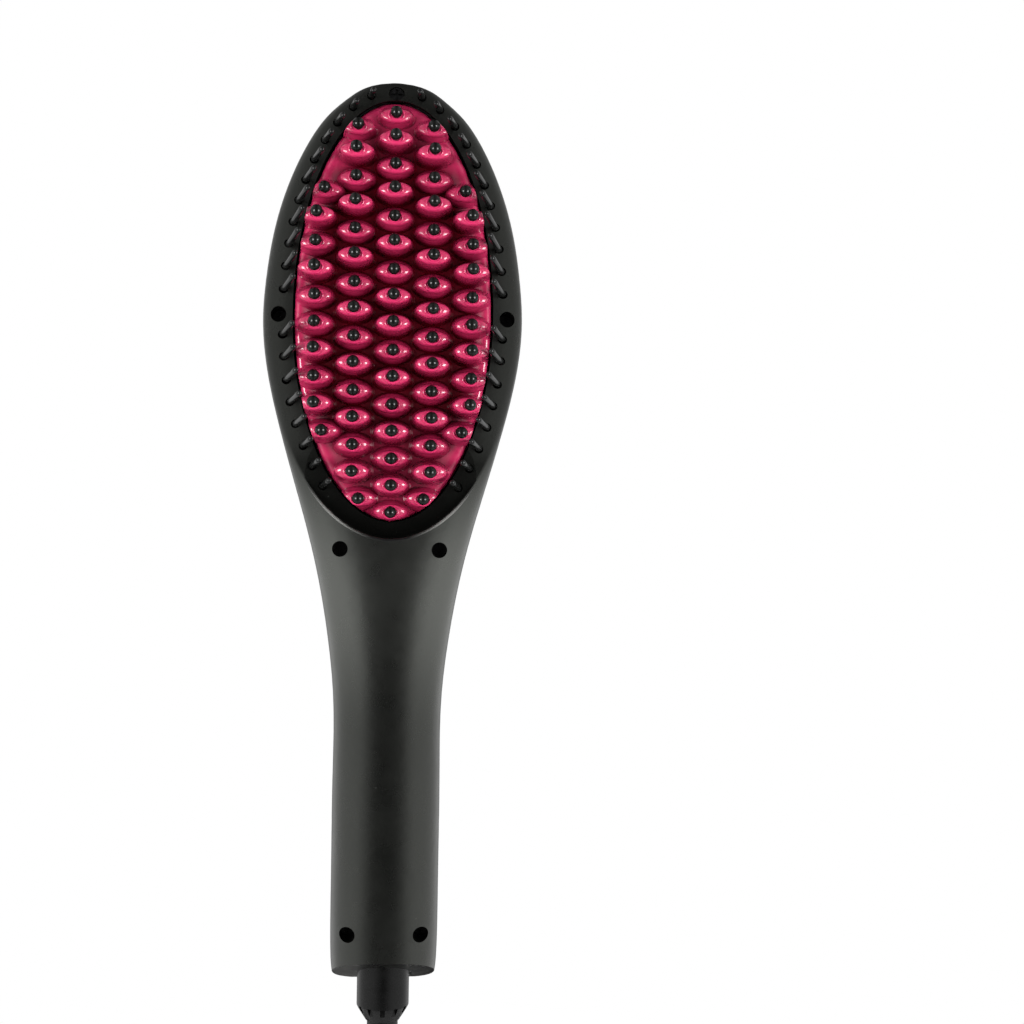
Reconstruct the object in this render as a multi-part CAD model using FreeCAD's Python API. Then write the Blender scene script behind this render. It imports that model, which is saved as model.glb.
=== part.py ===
"""Hair straightening brush, upright, as a hand holds it.

+X is to the right of the front view, +Y is towards the back, +Z is towards the head's tip.
The origin is the middle of the hand grip. Inside the script a place is (x, down, out):
down is the distance from the head's tip along the brush, out is the distance in front of
the parting plane between the two casings.
"""
import FreeCAD, Part
import math
import os

V = FreeCAD.Vector

# Body
HEAD_LENGTH = 108.0
HANDLE_LENGTH = 139.0
HEAD_WIDTH = 70.0
HANDLE_WIDTH = 29.2
RIM_HEIGHT = 13.0
HANDLE_FRONT = 12.9
HEAD_BACK = 14.8
HANDLE_BACK = 14.6
GRIP_FROM_END = 57.0
WALL = 2.2
PARTING_GAP = 0.15
END_SLOPE_SHARE = 0.45
END_AT_AXIS = 4.0

# The rim and the plate arch about one axis along X
ARCH_RADIUS = 255.0
ARCH_DOWN = 68.0

# Clearances and cuts
OVERRUN = 5.0
SEAT_GAP = 0.05
FIT_GAP = 0.15
RUNNING_GAP = 0.08
MOVING_GAP = 0.3

# Heating plate
PLATE_WIDTH = 52.4
PLATE_TOP_DOWN = 6.4
PLATE_WIDEST_DOWN = 65.2
PLATE_BOTTOM_DOWN = 119.5
PLATE_GAP = 0.4
PLATE_SINK = 1.5
PLATE_THICKNESS = 4.0
FLANGE_THICKNESS = 1.5
FLANGE_WIDTH = 2.2
GASKET_THICKNESS = 0.8
LIP_THICKNESS = 3.0

# Well round the plate's lower end
WELL_WIDTH = 67.2
WELL_HALF_LENGTH = 59.6
WELL_CENTRE_DOWN = 64.8

# Teeth and their ball tips
TOOTH_PITCH = 7.09
TOOTH_FIRST_DOWN = 10.9
COLUMN_PITCH = 10.3
CENTRE_TEETH = 16
INNER_TEETH = 15
OUTER_TEETH = 10
TOOTH_BASE_WIDTH = 10.2
TOOTH_BASE_DEPTH = 6.6
TOOTH_TOP_WIDTH = 8.6
TOOTH_TOP_DEPTH = 4.0
TOOTH_ROUNDING = 1.3
TOOTH_ROUNDING_STEPS = 3
TALL_TOOTH = 7.8
SHORT_TOOTH = 4.5
TOOTH_EDGE_GAP = 0.5
LEAST_TOOTH_REACH = 2.7
TIP_BALL = 3.2
TIP_STEM = 2.2
TIP_BALL_RISE = 3.1
TIP_ROOT = 2.6

# Rim bristles
BRISTLE_SLOTS = 20
BRISTLE_SCREW_SLOT = 11
BRISTLE_OFFSET = 3.9
BRISTLE_DIAMETER = 2.0
BRISTLE_TIP_DIAMETER = 1.5
BRISTLE_LENGTH = 12.6
BRISTLE_LEAN = 16.0
BRISTLE_FIRST_ANGLE = 13.5
BRISTLE_LAST_ANGLE = 142.0
BRISTLE_PATH_STEPS = 400
STRIP_WIDTH = 2.2
STRIP_THICKNESS = 1.2
STRIP_END_ANGLE = 3.0

# Casing screws, sunk from the front
SCREW_HEAD = 3.8
SCREW_HEAD_HEIGHT = 1.4
SCREW_SHANK = 2.2
SCREW_LENGTH = 7.0
COUNTERBORE = 4.2
SCREW_SEAT = 1.6
PILLAR_WALL = 0.9
BOSS_DIAMETER = 5.0
CROSS_WIDTH = 0.7
CROSS_DEPTH = 0.8
TOP_SCREW_DOWN = 3.9
SIDE_SCREW_OUT = 30.4
SIDE_SCREW_DOWN = 65.2
NECK_SCREW_OUT = 13.2
NECK_SCREW_DOWN = 127.2
END_SCREW_OUT = 9.8
END_SCREW_FROM_END = 17.0

# Heating film, insulation, clamp and sensors behind the plate
FILM_THICKNESS = 0.8
FILM_INSET = 9.0
INSULATION_THICKNESS = 1.5
CLAMP_THICKNESS = 1.0
CLAMP_INSET = 3.0
CLAMP_BOSS = 5.0
CLAMP_SCREW = 1.8
CLAMP_SCREW_HEAD = 3.6
CLAMP_SCREW_HEAD_HEIGHT = 1.3
CLAMP_SCREW_INSET = 6.0
CLAMP_SCREW_REACH = 4.5
THERMISTOR_DIAMETER = 3.0
THERMISTOR_RISE = 1.6
THERMISTOR_DOWN = 74.0
FUSE_DIAMETER = 3.4
FUSE_LENGTH = 10.0
FUSE_OUT = 9.0
FUSE_DOWN = 84.0

# Control board
BOARD_OUT = -3.0
BOARD_THICKNESS = 1.6
BOARD_WIDTH = 21.0
BOARD_TOP_DOWN = 133.0
BOARD_BOTTOM_DOWN = 217.0
BOARD_SCREW_OUT = 7.5
BOARD_SCREW_INSET = 3.2
BOARD_POST = 4.6
BOARD_SCREW = 1.7
BOARD_SCREW_HEAD = 3.4
BOARD_SCREW_HEAD_HEIGHT = 1.3
BOARD_SCREW_LENGTH = 7.0
CHIP_SIDE = 7.0
CHIP_HEIGHT = 1.2
CHIP_DOWN = 160.0
TRIAC_WIDTH = 10.0
TRIAC_LENGTH = 15.0
TRIAC_HEIGHT = 4.4
TRIAC_DOWN = 181.0
CAPACITOR_WIDTH = 13.0
CAPACITOR_LENGTH = 10.0
CAPACITOR_HEIGHT = 7.0
CAPACITOR_DOWN = 200.0

# Control panel in the back of the handle
PANEL_TOP_DOWN = 142.4
PANEL_BOTTOM_DOWN = 210.0
PANEL_TOP_WIDTH = 29.6
PANEL_BOTTOM_WIDTH = 25.0
PANEL_TOP_BOW = 3.2
PANEL_BOTTOM_BOW = 4.2
PANEL_GAP = 0.12
PANEL_FLANGE = 1.0
PANEL_FLANGE_WIDTH = 1.2

# Display
DISPLAY_DOWN = 155.5
WINDOW_WIDTH = 20.0
WINDOW_LENGTH = 13.4
WINDOW_THICKNESS = 1.2
WINDOW_OUT = -8.8
GLASS_WIDTH = 19.0
GLASS_LENGTH = 11.0
GLASS_THICKNESS = 1.4
HOLDER_WALL = 0.9

# Buttons
PAIR_DOWN = 177.0
PAIR_WIDTH = 14.0
PAIR_LENGTH = 22.6
PAIR_DIVIDER = 1.2
PAIR_FACE_OUT = -10.9
PAIR_CORNER = 2.4
PAIR_BEVEL = 2.2
POWER_DOWN = 198.0
POWER_DIAMETER = 13.4
POWER_FACE_OUT = -12.3
POWER_BEVEL = 1.6
BUTTON_GAP = 0.3
BUTTON_FLANGE = 0.8
BUTTON_FLANGE_WIDTH = 0.7
PAIR_FLANGE_OUT = -8.1
POWER_FLANGE_OUT = -9.3
BUTTON_FOOT = 3.0
MARK_LENGTH = 4.6
MARK_WIDTH = 0.9
MARK_HEIGHT = 0.2
POWER_MARK_RADIUS = 2.2
POWER_MARK_OPENING = 1.1

# Switches under the buttons
SWITCH_SIDE = 6.0
SWITCH_HEIGHT = 1.9
SWITCH_STEM = 3.2
SWITCH_STEM_RISE = 0.8
SWITCH_STEM_ROOT = 1.0
SWITCH_WELL = 1.75
TRAVEL = 0.6

# Cord swivel
BARREL_DIAMETER = 14.2
BARREL_PROUD = 5.6
COLLAR_LENGTH = 3.0
COLLAR_LIP = 1.0
COLLAR_SLOTS = 12
COLLAR_SLOT_WIDTH = 1.3
COLLAR_SLOT_DEPTH = 0.7
COLLAR_SLOT_LENGTH = 2.4
SWIVEL_FLANGE = 17.6
SWIVEL_FLANGE_THICKNESS = 1.4
HUB_DIAMETER = 5.6
HUB_LENGTH = 10.6
SLIP_RING_DIAMETER = 8.0
SLIP_RING_WIDTH = 2.2
SLIP_RING_PITCH = 4.6
SLIP_RING_FIRST = 2.4
CONTACT_THICKNESS = 0.7
CONTACT_WIDTH = 1.4
HOLDER_DIAMETER = 12.4
HOLDER_LENGTH = 13.6
HOLDER_CAP = 2.6
CRADLE_THICKNESS = 3.0
CRADLE_FROM_TOP = 5.0

# Strain relief and cord
CORD_DIAMETER = 6.2
RELIEF_TOP_DIAMETER = 8.4
RELIEF_END_DIAMETER = 7.6
RELIEF_LENGTH = 27.0
RELIEF_SPIGOT = 9.0
RELIEF_RIBS = 7
RELIEF_GROOVE = 0.4
LEAD_RUN = 24.0
COIL_RADIUS = 48.6
COIL_HALF_TURNS = 7
COIL_GAP = 0.6
TOP_TURN_RADIUS = 26.0
TAIL_LENGTH = 6.2
TIE_THICKNESS = 1.2
TIE_WIDTH = 12.0
TIE_SLACK = 1.0
TIE_CORNER = 3.0
TIE_ANGLE = 200.0
TIE_ROOM = 0.9
PLUG_LENGTH = 32.0
PLUG_WIDTH = 34.0
PLUG_HEIGHT = 14.0
PLUG_NOSE_WIDTH = 13.0
PLUG_CORNER = 3.0
PIN_DIAMETER = 4.0
PIN_LENGTH = 19.0
PIN_SPACING = 18.6
PIN_ROOT = 6.0
PIN_ROOT_DIAMETER = 3.0
PIN_ROUNDING = 1.0

# Wires inside the casing
WIRE_DIAMETER = 1.4
SENSOR_WIRE_DIAMETER = 0.9
SENSOR_LEAD_OUT = 6.2
SENSOR_LEAD_STEP = 10.0
MAINS_LEAD_OUT = 4.0
WIRE_END_RUN = 5.0
BEND_SHARE = 0.45

# Cross sections down the body. Each row: head length share, handle length share, head width
# share, handle width share, arch share, handle front share, head back share, handle back
# share, then the roundness powers of the front half and of the back half.
SECTION_SHARES = [
    (0.0005, 0.0, 0.042, 0.0, 0.14, 0.0, 0.05, 0.0, 2.6, 2.4),
    (0.0056, 0.0, 0.137, 0.0, 0.45, 0.0, 0.16, 0.0, 3.0, 2.4),
    (0.0204, 0.0, 0.263, 0.0, 0.78, 0.0, 0.31, 0.0, 3.6, 2.4),
    (0.0509, 0.0, 0.391, 0.0, 0.96, 0.0, 0.49, 0.0, 4.4, 2.5),
    (0.0926, 0.0, 0.525, 0.0, 1.0, 0.0, 0.635, 0.0, 5.0, 2.6),
    (0.157, 0.0, 0.662, 0.0, 1.0, 0.0, 0.785, 0.0, 5.0, 2.6),
    (0.25, 0.0, 0.797, 0.0, 1.0, 0.0, 0.90, 0.0, 5.0, 2.6),
    (0.37, 0.0, 0.912, 0.0, 1.0, 0.0, 0.973, 0.0, 5.0, 2.6),
    (0.5, 0.0, 0.978, 0.0, 1.0, 0.0, 1.0, 0.0, 5.0, 2.6),
    (0.61, 0.0, 1.0, 0.0, 1.0, 0.0, 1.0, 0.0, 5.0, 2.6),
    (0.74, 0.0, 0.961, 0.0, 1.0, 0.0, 0.973, 0.0, 5.0, 2.6),
    (0.88, 0.0, 0.862, 0.0, 1.0, 0.0, 0.905, 0.0, 4.8, 2.6),
    (1.0, 0.0, 0.60, 0.38, 0.66, 0.43, 0.50, 0.33, 4.0, 2.6),
    (1.0, 0.0935, 0.36, 0.70, 0.35, 0.82, 0.20, 0.55, 3.2, 2.6),
    (1.0, 0.194, 0.17, 0.92, 0.0, 1.05, 0.0, 0.70, 2.8, 2.6),
    (1.0, 0.302, 0.06, 1.0, 0.0, 1.04, 0.0, 0.705, 2.6, 2.5),
    (1.0, 0.432, 0.0, 1.01, 0.0, 1.015, 0.0, 0.767, 2.5, 2.5),
    (1.0, 0.59, 0.0, 1.0, 0.0, 1.0, 0.0, 0.877, 2.5, 2.5),
    (1.0, 0.77, 0.0, 1.0, 0.0, 1.0, 0.0, 0.973, 2.5, 2.5),
    (1.0, 0.914, 0.0, 0.993, 0.0, 1.0, 0.0, 1.0, 2.5, 2.5),
    (1.0, 0.964, 0.0, 0.959, 0.0, 0.97, 0.0, 0.98, 2.5, 2.5),
    (1.0, 0.989, 0.0, 0.884, 0.0, 0.90, 0.0, 0.91, 2.5, 2.5),
    (1.0, 1.0, 0.0, 0.781, 0.0, 0.80, 0.0, 0.81, 2.5, 2.5),
]
CAVITY_END_ROW = 19
SECTION_POINTS = 16

BODY_LENGTH = HEAD_LENGTH + HANDLE_LENGTH
TIP_Z = BODY_LENGTH - GRIP_FROM_END
REACH = HEAD_WIDTH
OUTWARD = V(0, -1, 0)
DOWNWARD = V(0, 0, -1)
CAVITY_END_DOWN = HEAD_LENGTH + SECTION_SHARES[CAVITY_END_ROW][1] * HANDLE_LENGTH


def at(x, down, out):
    """Point of the part's frame at a place of the brush."""
    return V(x, -out, TIP_Z - down)


def arch(down, below=0.0):
    """Distance in front of the parting plane of the arch, or of a coaxial arch below it."""
    radius = ARCH_RADIUS - below
    return RIM_HEIGHT - ARCH_RADIUS + math.sqrt(radius ** 2 - (down - ARCH_DOWN) ** 2)


def rod(x, down, out_low, out_high, diameter):
    """Cylinder square to the parting plane."""
    return Part.makeCylinder(diameter / 2, out_high - out_low, at(x, down, out_low), OUTWARD)


def cone(x, down, out_low, out_high, low_diameter, high_diameter):
    """Cone square to the parting plane."""
    return Part.makeCone(low_diameter / 2, high_diameter / 2, out_high - out_low,
                         at(x, down, out_low), OUTWARD)


def block(x, down, out_low, out_high, width, length):
    """Box square to the parting plane, centred on x and down."""
    corner = at(x - width / 2, down + length / 2, out_high)
    return Part.makeBox(width, out_high - out_low, length, corner)


def prism(wire, out_low, out_high):
    """Solid of a wire drawn at out = 0, between two distances from the parting plane."""
    face = Part.Face(wire)
    face.translate(OUTWARD * out_low)
    return face.extrude(OUTWARD * (out_high - out_low))


def axial(diameter, down_high, down_low):
    """Cylinder on the handle's axis."""
    return Part.makeCylinder(diameter / 2, down_low - down_high, at(0, down_high, 0), DOWNWARD)


def fused(shapes):
    """One solid from several that meet."""
    return shapes[0].multiFuse(shapes[1:])


# Casing halves


def section_sizes(row):
    """Place down the body, half width, front height and back depth of one cross section."""
    head, handle, wide_a, wide_b, front_a, front_b, back_a, back_b = row[:8]
    down = head * HEAD_LENGTH + handle * HANDLE_LENGTH
    width = (wide_a * HEAD_WIDTH + wide_b * HANDLE_WIDTH) / 2
    front = front_a * arch(down) + front_b * HANDLE_FRONT
    back = back_a * HEAD_BACK + back_b * HANDLE_BACK
    return down, width, front, back


def section_wire(down, width, depth, power, side):
    """Half of a superellipse on one side of the parting plane, closed along it."""
    points = []
    for step in range(SECTION_POINTS + 1):
        angle = math.pi * (1 - step / SECTION_POINTS)
        across = math.copysign(abs(math.cos(angle)) ** (2 / power), math.cos(angle))
        away = abs(math.sin(angle)) ** (2 / power)
        points.append(at(width * across, down, side * depth * away))
    points[0] = at(-width, down, 0)
    points[-1] = at(width, down, 0)
    curve = Part.BSplineCurve()
    curve.interpolate(Points=points, Parameters=[step / SECTION_POINTS for step in range(SECTION_POINTS + 1)])
    return Part.Wire([curve.toShape(), Part.LineSegment(points[-1], points[0]).toShape()])


def half_body(side, inset):
    """Smooth loft of one half of the body, drawn in by an inset."""
    profiles = []
    for number, row in enumerate(SECTION_SHARES):
        down, width, front, back = section_sizes(row)
        depth = front if side > 0 else back
        power = row[8] if side > 0 else row[9]
        if inset > 0 and (number > CAVITY_END_ROW or depth < inset + WALL or width < inset + WALL):
            continue
        profiles.append(section_wire(down, width - inset, depth - inset, power, side))
    return Part.makeLoft(profiles, True, False)


def egg_wire(offset):
    """Outline of the plate: an upper and a lower half ellipse with one width, grown by offset."""
    half = PLATE_WIDTH / 2 + offset
    centre = at(0, PLATE_WIDEST_DOWN, 0)
    side = at(half, PLATE_WIDEST_DOWN, 0)
    edges = []
    for end in (PLATE_TOP_DOWN - offset, PLATE_BOTTOM_DOWN + offset):
        ellipse = Part.Ellipse(at(0, end, 0), side, centre)
        edges.append(Part.ArcOfEllipse(ellipse, -math.pi / 2, math.pi / 2).toShape())
    return Part.Wire(Part.__sortEdges__(edges))


def egg(offset, out_low=-REACH, out_high=REACH):
    """Prism of the plate's outline."""
    return prism(egg_wire(offset), out_low, out_high)


def egg_half_width(down):
    """Half width of the plate at a distance from the head's tip."""
    end = PLATE_TOP_DOWN if down < PLATE_WIDEST_DOWN else PLATE_BOTTOM_DOWN
    rise = (down - PLATE_WIDEST_DOWN) / (end - PLATE_WIDEST_DOWN)
    return PLATE_WIDTH / 2 * math.sqrt(max(0.0, 1 - rise ** 2))


def arch_roller(below):
    """Everything behind an arch that lies below the rim's own by the given amount."""
    axis = V(-REACH, ARCH_RADIUS - RIM_HEIGHT, TIP_Z - ARCH_DOWN)
    return Part.makeCylinder(ARCH_RADIUS - below, 2 * REACH, axis, V(1, 0, 0))


def arch_layer(solid, above, below):
    """The part of a solid between two arches."""
    return solid.common(arch_roller(above)).cut(arch_roller(below))


def well(grow, below):
    """Space of the well round the plate's lower end, in front of an arch."""
    half = WELL_WIDTH / 2 + grow
    centre = at(0, WELL_CENTRE_DOWN, 0)
    ellipse = Part.Ellipse(at(0, WELL_CENTRE_DOWN + WELL_HALF_LENGTH + grow, 0),
                           at(half, WELL_CENTRE_DOWN, 0), centre)
    lower = Part.ArcOfEllipse(ellipse, -math.pi / 2, math.pi / 2).toShape()
    ends = [vertex.Point for vertex in lower.Vertexes]
    wire = Part.Wire(Part.__sortEdges__([lower, Part.LineSegment(ends[0], ends[1]).toShape()]))
    return prism(wire, -OVERRUN, REACH).cut(arch_roller(below))


# Places that several pieces share

SCREW_PLACES = {
    "rim_screws": [(0.0, TOP_SCREW_DOWN), (-SIDE_SCREW_OUT, SIDE_SCREW_DOWN),
                   (SIDE_SCREW_OUT, SIDE_SCREW_DOWN)],
    "neck_screws": [(-NECK_SCREW_OUT, NECK_SCREW_DOWN), (NECK_SCREW_OUT, NECK_SCREW_DOWN)],
    "handle_screws": [(-END_SCREW_OUT, BODY_LENGTH - END_SCREW_FROM_END),
                      (END_SCREW_OUT, BODY_LENGTH - END_SCREW_FROM_END)],
}
ALL_SCREWS = [place for places in SCREW_PLACES.values() for place in places]
PILLAR_DIAMETER = COUNTERBORE + 2 * PILLAR_WALL
BOARD_BACK_OUT = BOARD_OUT - BOARD_THICKNESS
BOARD_SCREWS = [(x, down) for x in (-BOARD_SCREW_OUT, BOARD_SCREW_OUT)
                for down in (BOARD_TOP_DOWN + BOARD_SCREW_INSET, BOARD_BOTTOM_DOWN - BOARD_SCREW_INSET)]
FLANGE_TOP = LIP_THICKNESS + GASKET_THICKNESS + 2 * SEAT_GAP
PLATE_UNDER = FLANGE_TOP + FLANGE_THICKNESS
FILM_TOP = PLATE_UNDER + SEAT_GAP
INSULATION_TOP = FILM_TOP + FILM_THICKNESS + SEAT_GAP
CLAMP_TOP = INSULATION_TOP + INSULATION_THICKNESS + SEAT_GAP
CLAMP_UNDER = CLAMP_TOP + CLAMP_THICKNESS
BARREL_END_DOWN = BODY_LENGTH + BARREL_PROUD
FLANGE_LOW_DOWN = CAVITY_END_DOWN - MOVING_GAP
FLANGE_HIGH_DOWN = FLANGE_LOW_DOWN - SWIVEL_FLANGE_THICKNESS
HOLDER_LOW_DOWN = FLANGE_HIGH_DOWN - MOVING_GAP
HOLDER_HIGH_DOWN = HOLDER_LOW_DOWN - HOLDER_LENGTH
CRADLE_DOWN = HOLDER_HIGH_DOWN + CRADLE_FROM_TOP
RELIEF_START_DOWN = BARREL_END_DOWN + COLLAR_LENGTH
RELIEF_END_DOWN = RELIEF_START_DOWN + RELIEF_LENGTH
BUTTON_DOWN = {
    "plus_button": PAIR_DOWN - (PAIR_LENGTH + PAIR_DIVIDER) / 4,
    "minus_button": PAIR_DOWN + (PAIR_LENGTH + PAIR_DIVIDER) / 4,
    "power_button": POWER_DOWN,
}
PAIR_CAP_LENGTH = (PAIR_LENGTH - PAIR_DIVIDER) / 2


def clamp_screw_places():
    """Four screws round the film, inside the clamp's edge."""
    inset = CLAMP_SCREW_INSET
    side = PLATE_WIDTH / 2 - inset
    return [(0.0, PLATE_TOP_DOWN + inset), (0.0, PLATE_BOTTOM_DOWN - inset),
            (-side, PLATE_WIDEST_DOWN), (side, PLATE_WIDEST_DOWN)]


def bristle_path(angle):
    """Place of the rim's middle line at an angle from the tip, and its slope across."""
    turn = math.radians(angle)
    half = PLATE_WIDTH / 2 + BRISTLE_OFFSET
    end = PLATE_TOP_DOWN if math.cos(turn) > 0 else PLATE_BOTTOM_DOWN
    length = abs(PLATE_WIDEST_DOWN - end) + BRISTLE_OFFSET
    return half * math.sin(turn), PLATE_WIDEST_DOWN - length * math.cos(turn)


def bristle_angles():
    """Angles of evenly spaced slots along one side of the rim, without the screw's slot."""
    first, last = BRISTLE_FIRST_ANGLE, BRISTLE_LAST_ANGLE
    steps = BRISTLE_PATH_STEPS
    grid = [first + (last - first) * step / steps for step in range(steps + 1)]
    run = [0.0]
    for a, b in zip(grid, grid[1:]):
        (xa, da), (xb, db) = bristle_path(a), bristle_path(b)
        run.append(run[-1] + math.hypot(xb - xa, db - da))
    angles = []
    for slot in range(BRISTLE_SLOTS):
        if slot == BRISTLE_SCREW_SLOT:
            continue
        goal = run[-1] * slot / (BRISTLE_SLOTS - 1)
        index = min(i for i, length in enumerate(run) if length >= goal - SEAT_GAP)
        angles.append(grid[index])
    return angles


def bristle_places():
    """Foot and direction of each bristle: it leans in towards the middle of the plate."""
    places = []
    for angle in bristle_angles():
        x, down = bristle_path(angle)
        foot_out = arch(down, LIP_THICKNESS + STRIP_THICKNESS)
        inward = math.tan(math.radians(BRISTLE_LEAN))
        across = math.hypot(x, down - PLATE_WIDEST_DOWN)
        lean_x = -x / across * inward
        lean_down = -(down - PLATE_WIDEST_DOWN) / across * inward / 2
        for side in (-1, 1):
            start = at(side * x, down, foot_out)
            aim = V(side * lean_x, -1, -lean_down)
            places.append((start, aim.normalize()))
    return places


def cradle(cavity):
    """Rib across one casing that carries the contact holder."""
    rib = axial(2 * HANDLE_WIDTH, CRADLE_DOWN, CRADLE_DOWN + CRADLE_THICKNESS).common(cavity)
    return rib.cut(axial(HOLDER_DIAMETER + 2 * FIT_GAP, HOLDER_HIGH_DOWN, HOLDER_LOW_DOWN))


def casing_front():
    """Rim, neck and front half of the handle."""
    cavity = half_body(1, WALL).cut(well(WALL, WALL))
    middle = half_body(1, WALL / 2)
    pillars = [rod(x, down, 0, REACH, PILLAR_DIAMETER) for x, down in ALL_SCREWS]
    inner = [pillar.common(middle) for pillar in pillars]
    for x, down in BOARD_SCREWS:
        inner.append(rod(x, down, 0, REACH, BOARD_POST).common(middle))
        inner.append(rod(x, down, BOARD_OUT, 0, BOARD_POST))
    shell = fused([half_body(1, 0).cut(cavity)] + inner + [cradle(half_body(1, WALL / 2))])
    cuts = [well(0, 0), egg(PLATE_GAP)]
    pocket = egg(BRISTLE_OFFSET + STRIP_WIDTH / 2 + FIT_GAP, -OVERRUN, REACH)
    pocket = pocket.common(arch_roller(LIP_THICKNESS))
    cuts.append(pocket.cut(Part.makeCompound(pillars[:3])))
    for x, down in ALL_SCREWS:
        cuts.append(rod(x, down, SCREW_SEAT, REACH, COUNTERBORE))
        cuts.append(rod(x, down, -OVERRUN, SCREW_SEAT + OVERRUN, SCREW_SHANK + 2 * FIT_GAP))
    for x, down in BOARD_SCREWS:
        cuts.append(rod(x, down, BOARD_OUT - OVERRUN, BOARD_BACK_OUT + BOARD_SCREW_LENGTH + FIT_GAP,
                        BOARD_SCREW + 2 * SEAT_GAP))
    for start, aim in bristle_places():
        cuts.append(Part.makeCylinder(BRISTLE_DIAMETER / 2 + FIT_GAP, BRISTLE_LENGTH, start, aim))
    cuts.append(barrel_hole())
    cuts.append(slanted_end())
    return shell.cut(cuts)


def barrel_hole():
    """Hole for the swivel barrel through the handle's end."""
    return axial(BARREL_DIAMETER + 2 * RUNNING_GAP, CAVITY_END_DOWN - OVERRUN, BODY_LENGTH + OVERRUN)


def slanted_end():
    """What the slanting end of the handle takes off: the front is shorter than the back."""
    axis_down = BODY_LENGTH - END_AT_AXIS
    points = [at(-REACH, axis_down - END_SLOPE_SHARE * REACH, REACH),
              at(-REACH, axis_down + END_SLOPE_SHARE * REACH, -REACH),
              at(-REACH, axis_down + REACH, -REACH), at(-REACH, axis_down + REACH, REACH)]
    return Part.Face(Part.makePolygon(points + points[:1])).extrude(V(2 * REACH, 0, 0))


def casing_rear():
    """Back of the head, neck and back half of the handle, open for the control panel."""
    middle = half_body(-1, WALL / 2)
    bosses = [rod(x, down, -REACH, 0, BOSS_DIAMETER).common(middle) for x, down in ALL_SCREWS]
    shell = fused([half_body(-1, 0).cut(half_body(-1, WALL))] + bosses + [cradle(middle)])
    cuts = [rod(x, down, SCREW_SEAT - SCREW_LENGTH - FIT_GAP, OVERRUN, SCREW_SHANK + 2 * SEAT_GAP)
            for x, down in ALL_SCREWS]
    cuts.append(block(0, BODY_LENGTH / 2, -PARTING_GAP, OVERRUN, 2 * REACH, 2 * BODY_LENGTH))
    cuts.append(prism(panel_wire(PANEL_GAP), -REACH, -PARTING_GAP))
    cuts.append(barrel_hole())
    cuts.append(slanted_end())
    return shell.cut(cuts)


# Control panel


def panel_wire(grow):
    """Panel outline: tapering sides, bowed upper and lower ends."""
    top = PANEL_TOP_DOWN + PANEL_TOP_BOW - grow
    bottom = PANEL_BOTTOM_DOWN - PANEL_BOTTOM_BOW + grow
    wide = PANEL_TOP_WIDTH / 2 + grow
    narrow = PANEL_BOTTOM_WIDTH / 2 + grow
    corners = [at(-wide, top, 0), at(wide, top, 0), at(narrow, bottom, 0), at(-narrow, bottom, 0)]
    upper = Part.Arc(corners[0], at(0, PANEL_TOP_DOWN - grow, 0), corners[1]).toShape()
    lower = Part.Arc(corners[2], at(0, PANEL_BOTTOM_DOWN + grow, 0), corners[3]).toShape()
    right = Part.LineSegment(corners[1], corners[2]).toShape()
    left = Part.LineSegment(corners[3], corners[0]).toShape()
    return Part.Wire([upper, right, lower, left])


def rounded_block(x, down, out_low, out_high, width, length, corner):
    """Block with its four long edges rounded."""
    solid = block(x, down, out_low, out_high, width, length)
    edges = [edge for edge in solid.Edges
             if edge.tangentAt(edge.FirstParameter).cross(OUTWARD).Length < SEAT_GAP]
    return solid.makeFillet(corner, edges)


def bevel_block(down, out_face, grow):
    """Bevelled mouth of the button pair: a loft that widens towards the back."""
    wires = []
    for out, extra in ((out_face, 0.0), (out_face - grow, grow)):
        solid = rounded_block(0, down, out, out + OVERRUN, PAIR_WIDTH + 2 * (BUTTON_GAP + extra),
                              PAIR_LENGTH + 2 * (BUTTON_GAP + extra), PAIR_CORNER + extra)
        face = min(solid.Faces, key=lambda f: -f.CenterOfMass.y)
        wires.append(face.OuterWire)
    return Part.makeLoft(wires, True, True)


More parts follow.
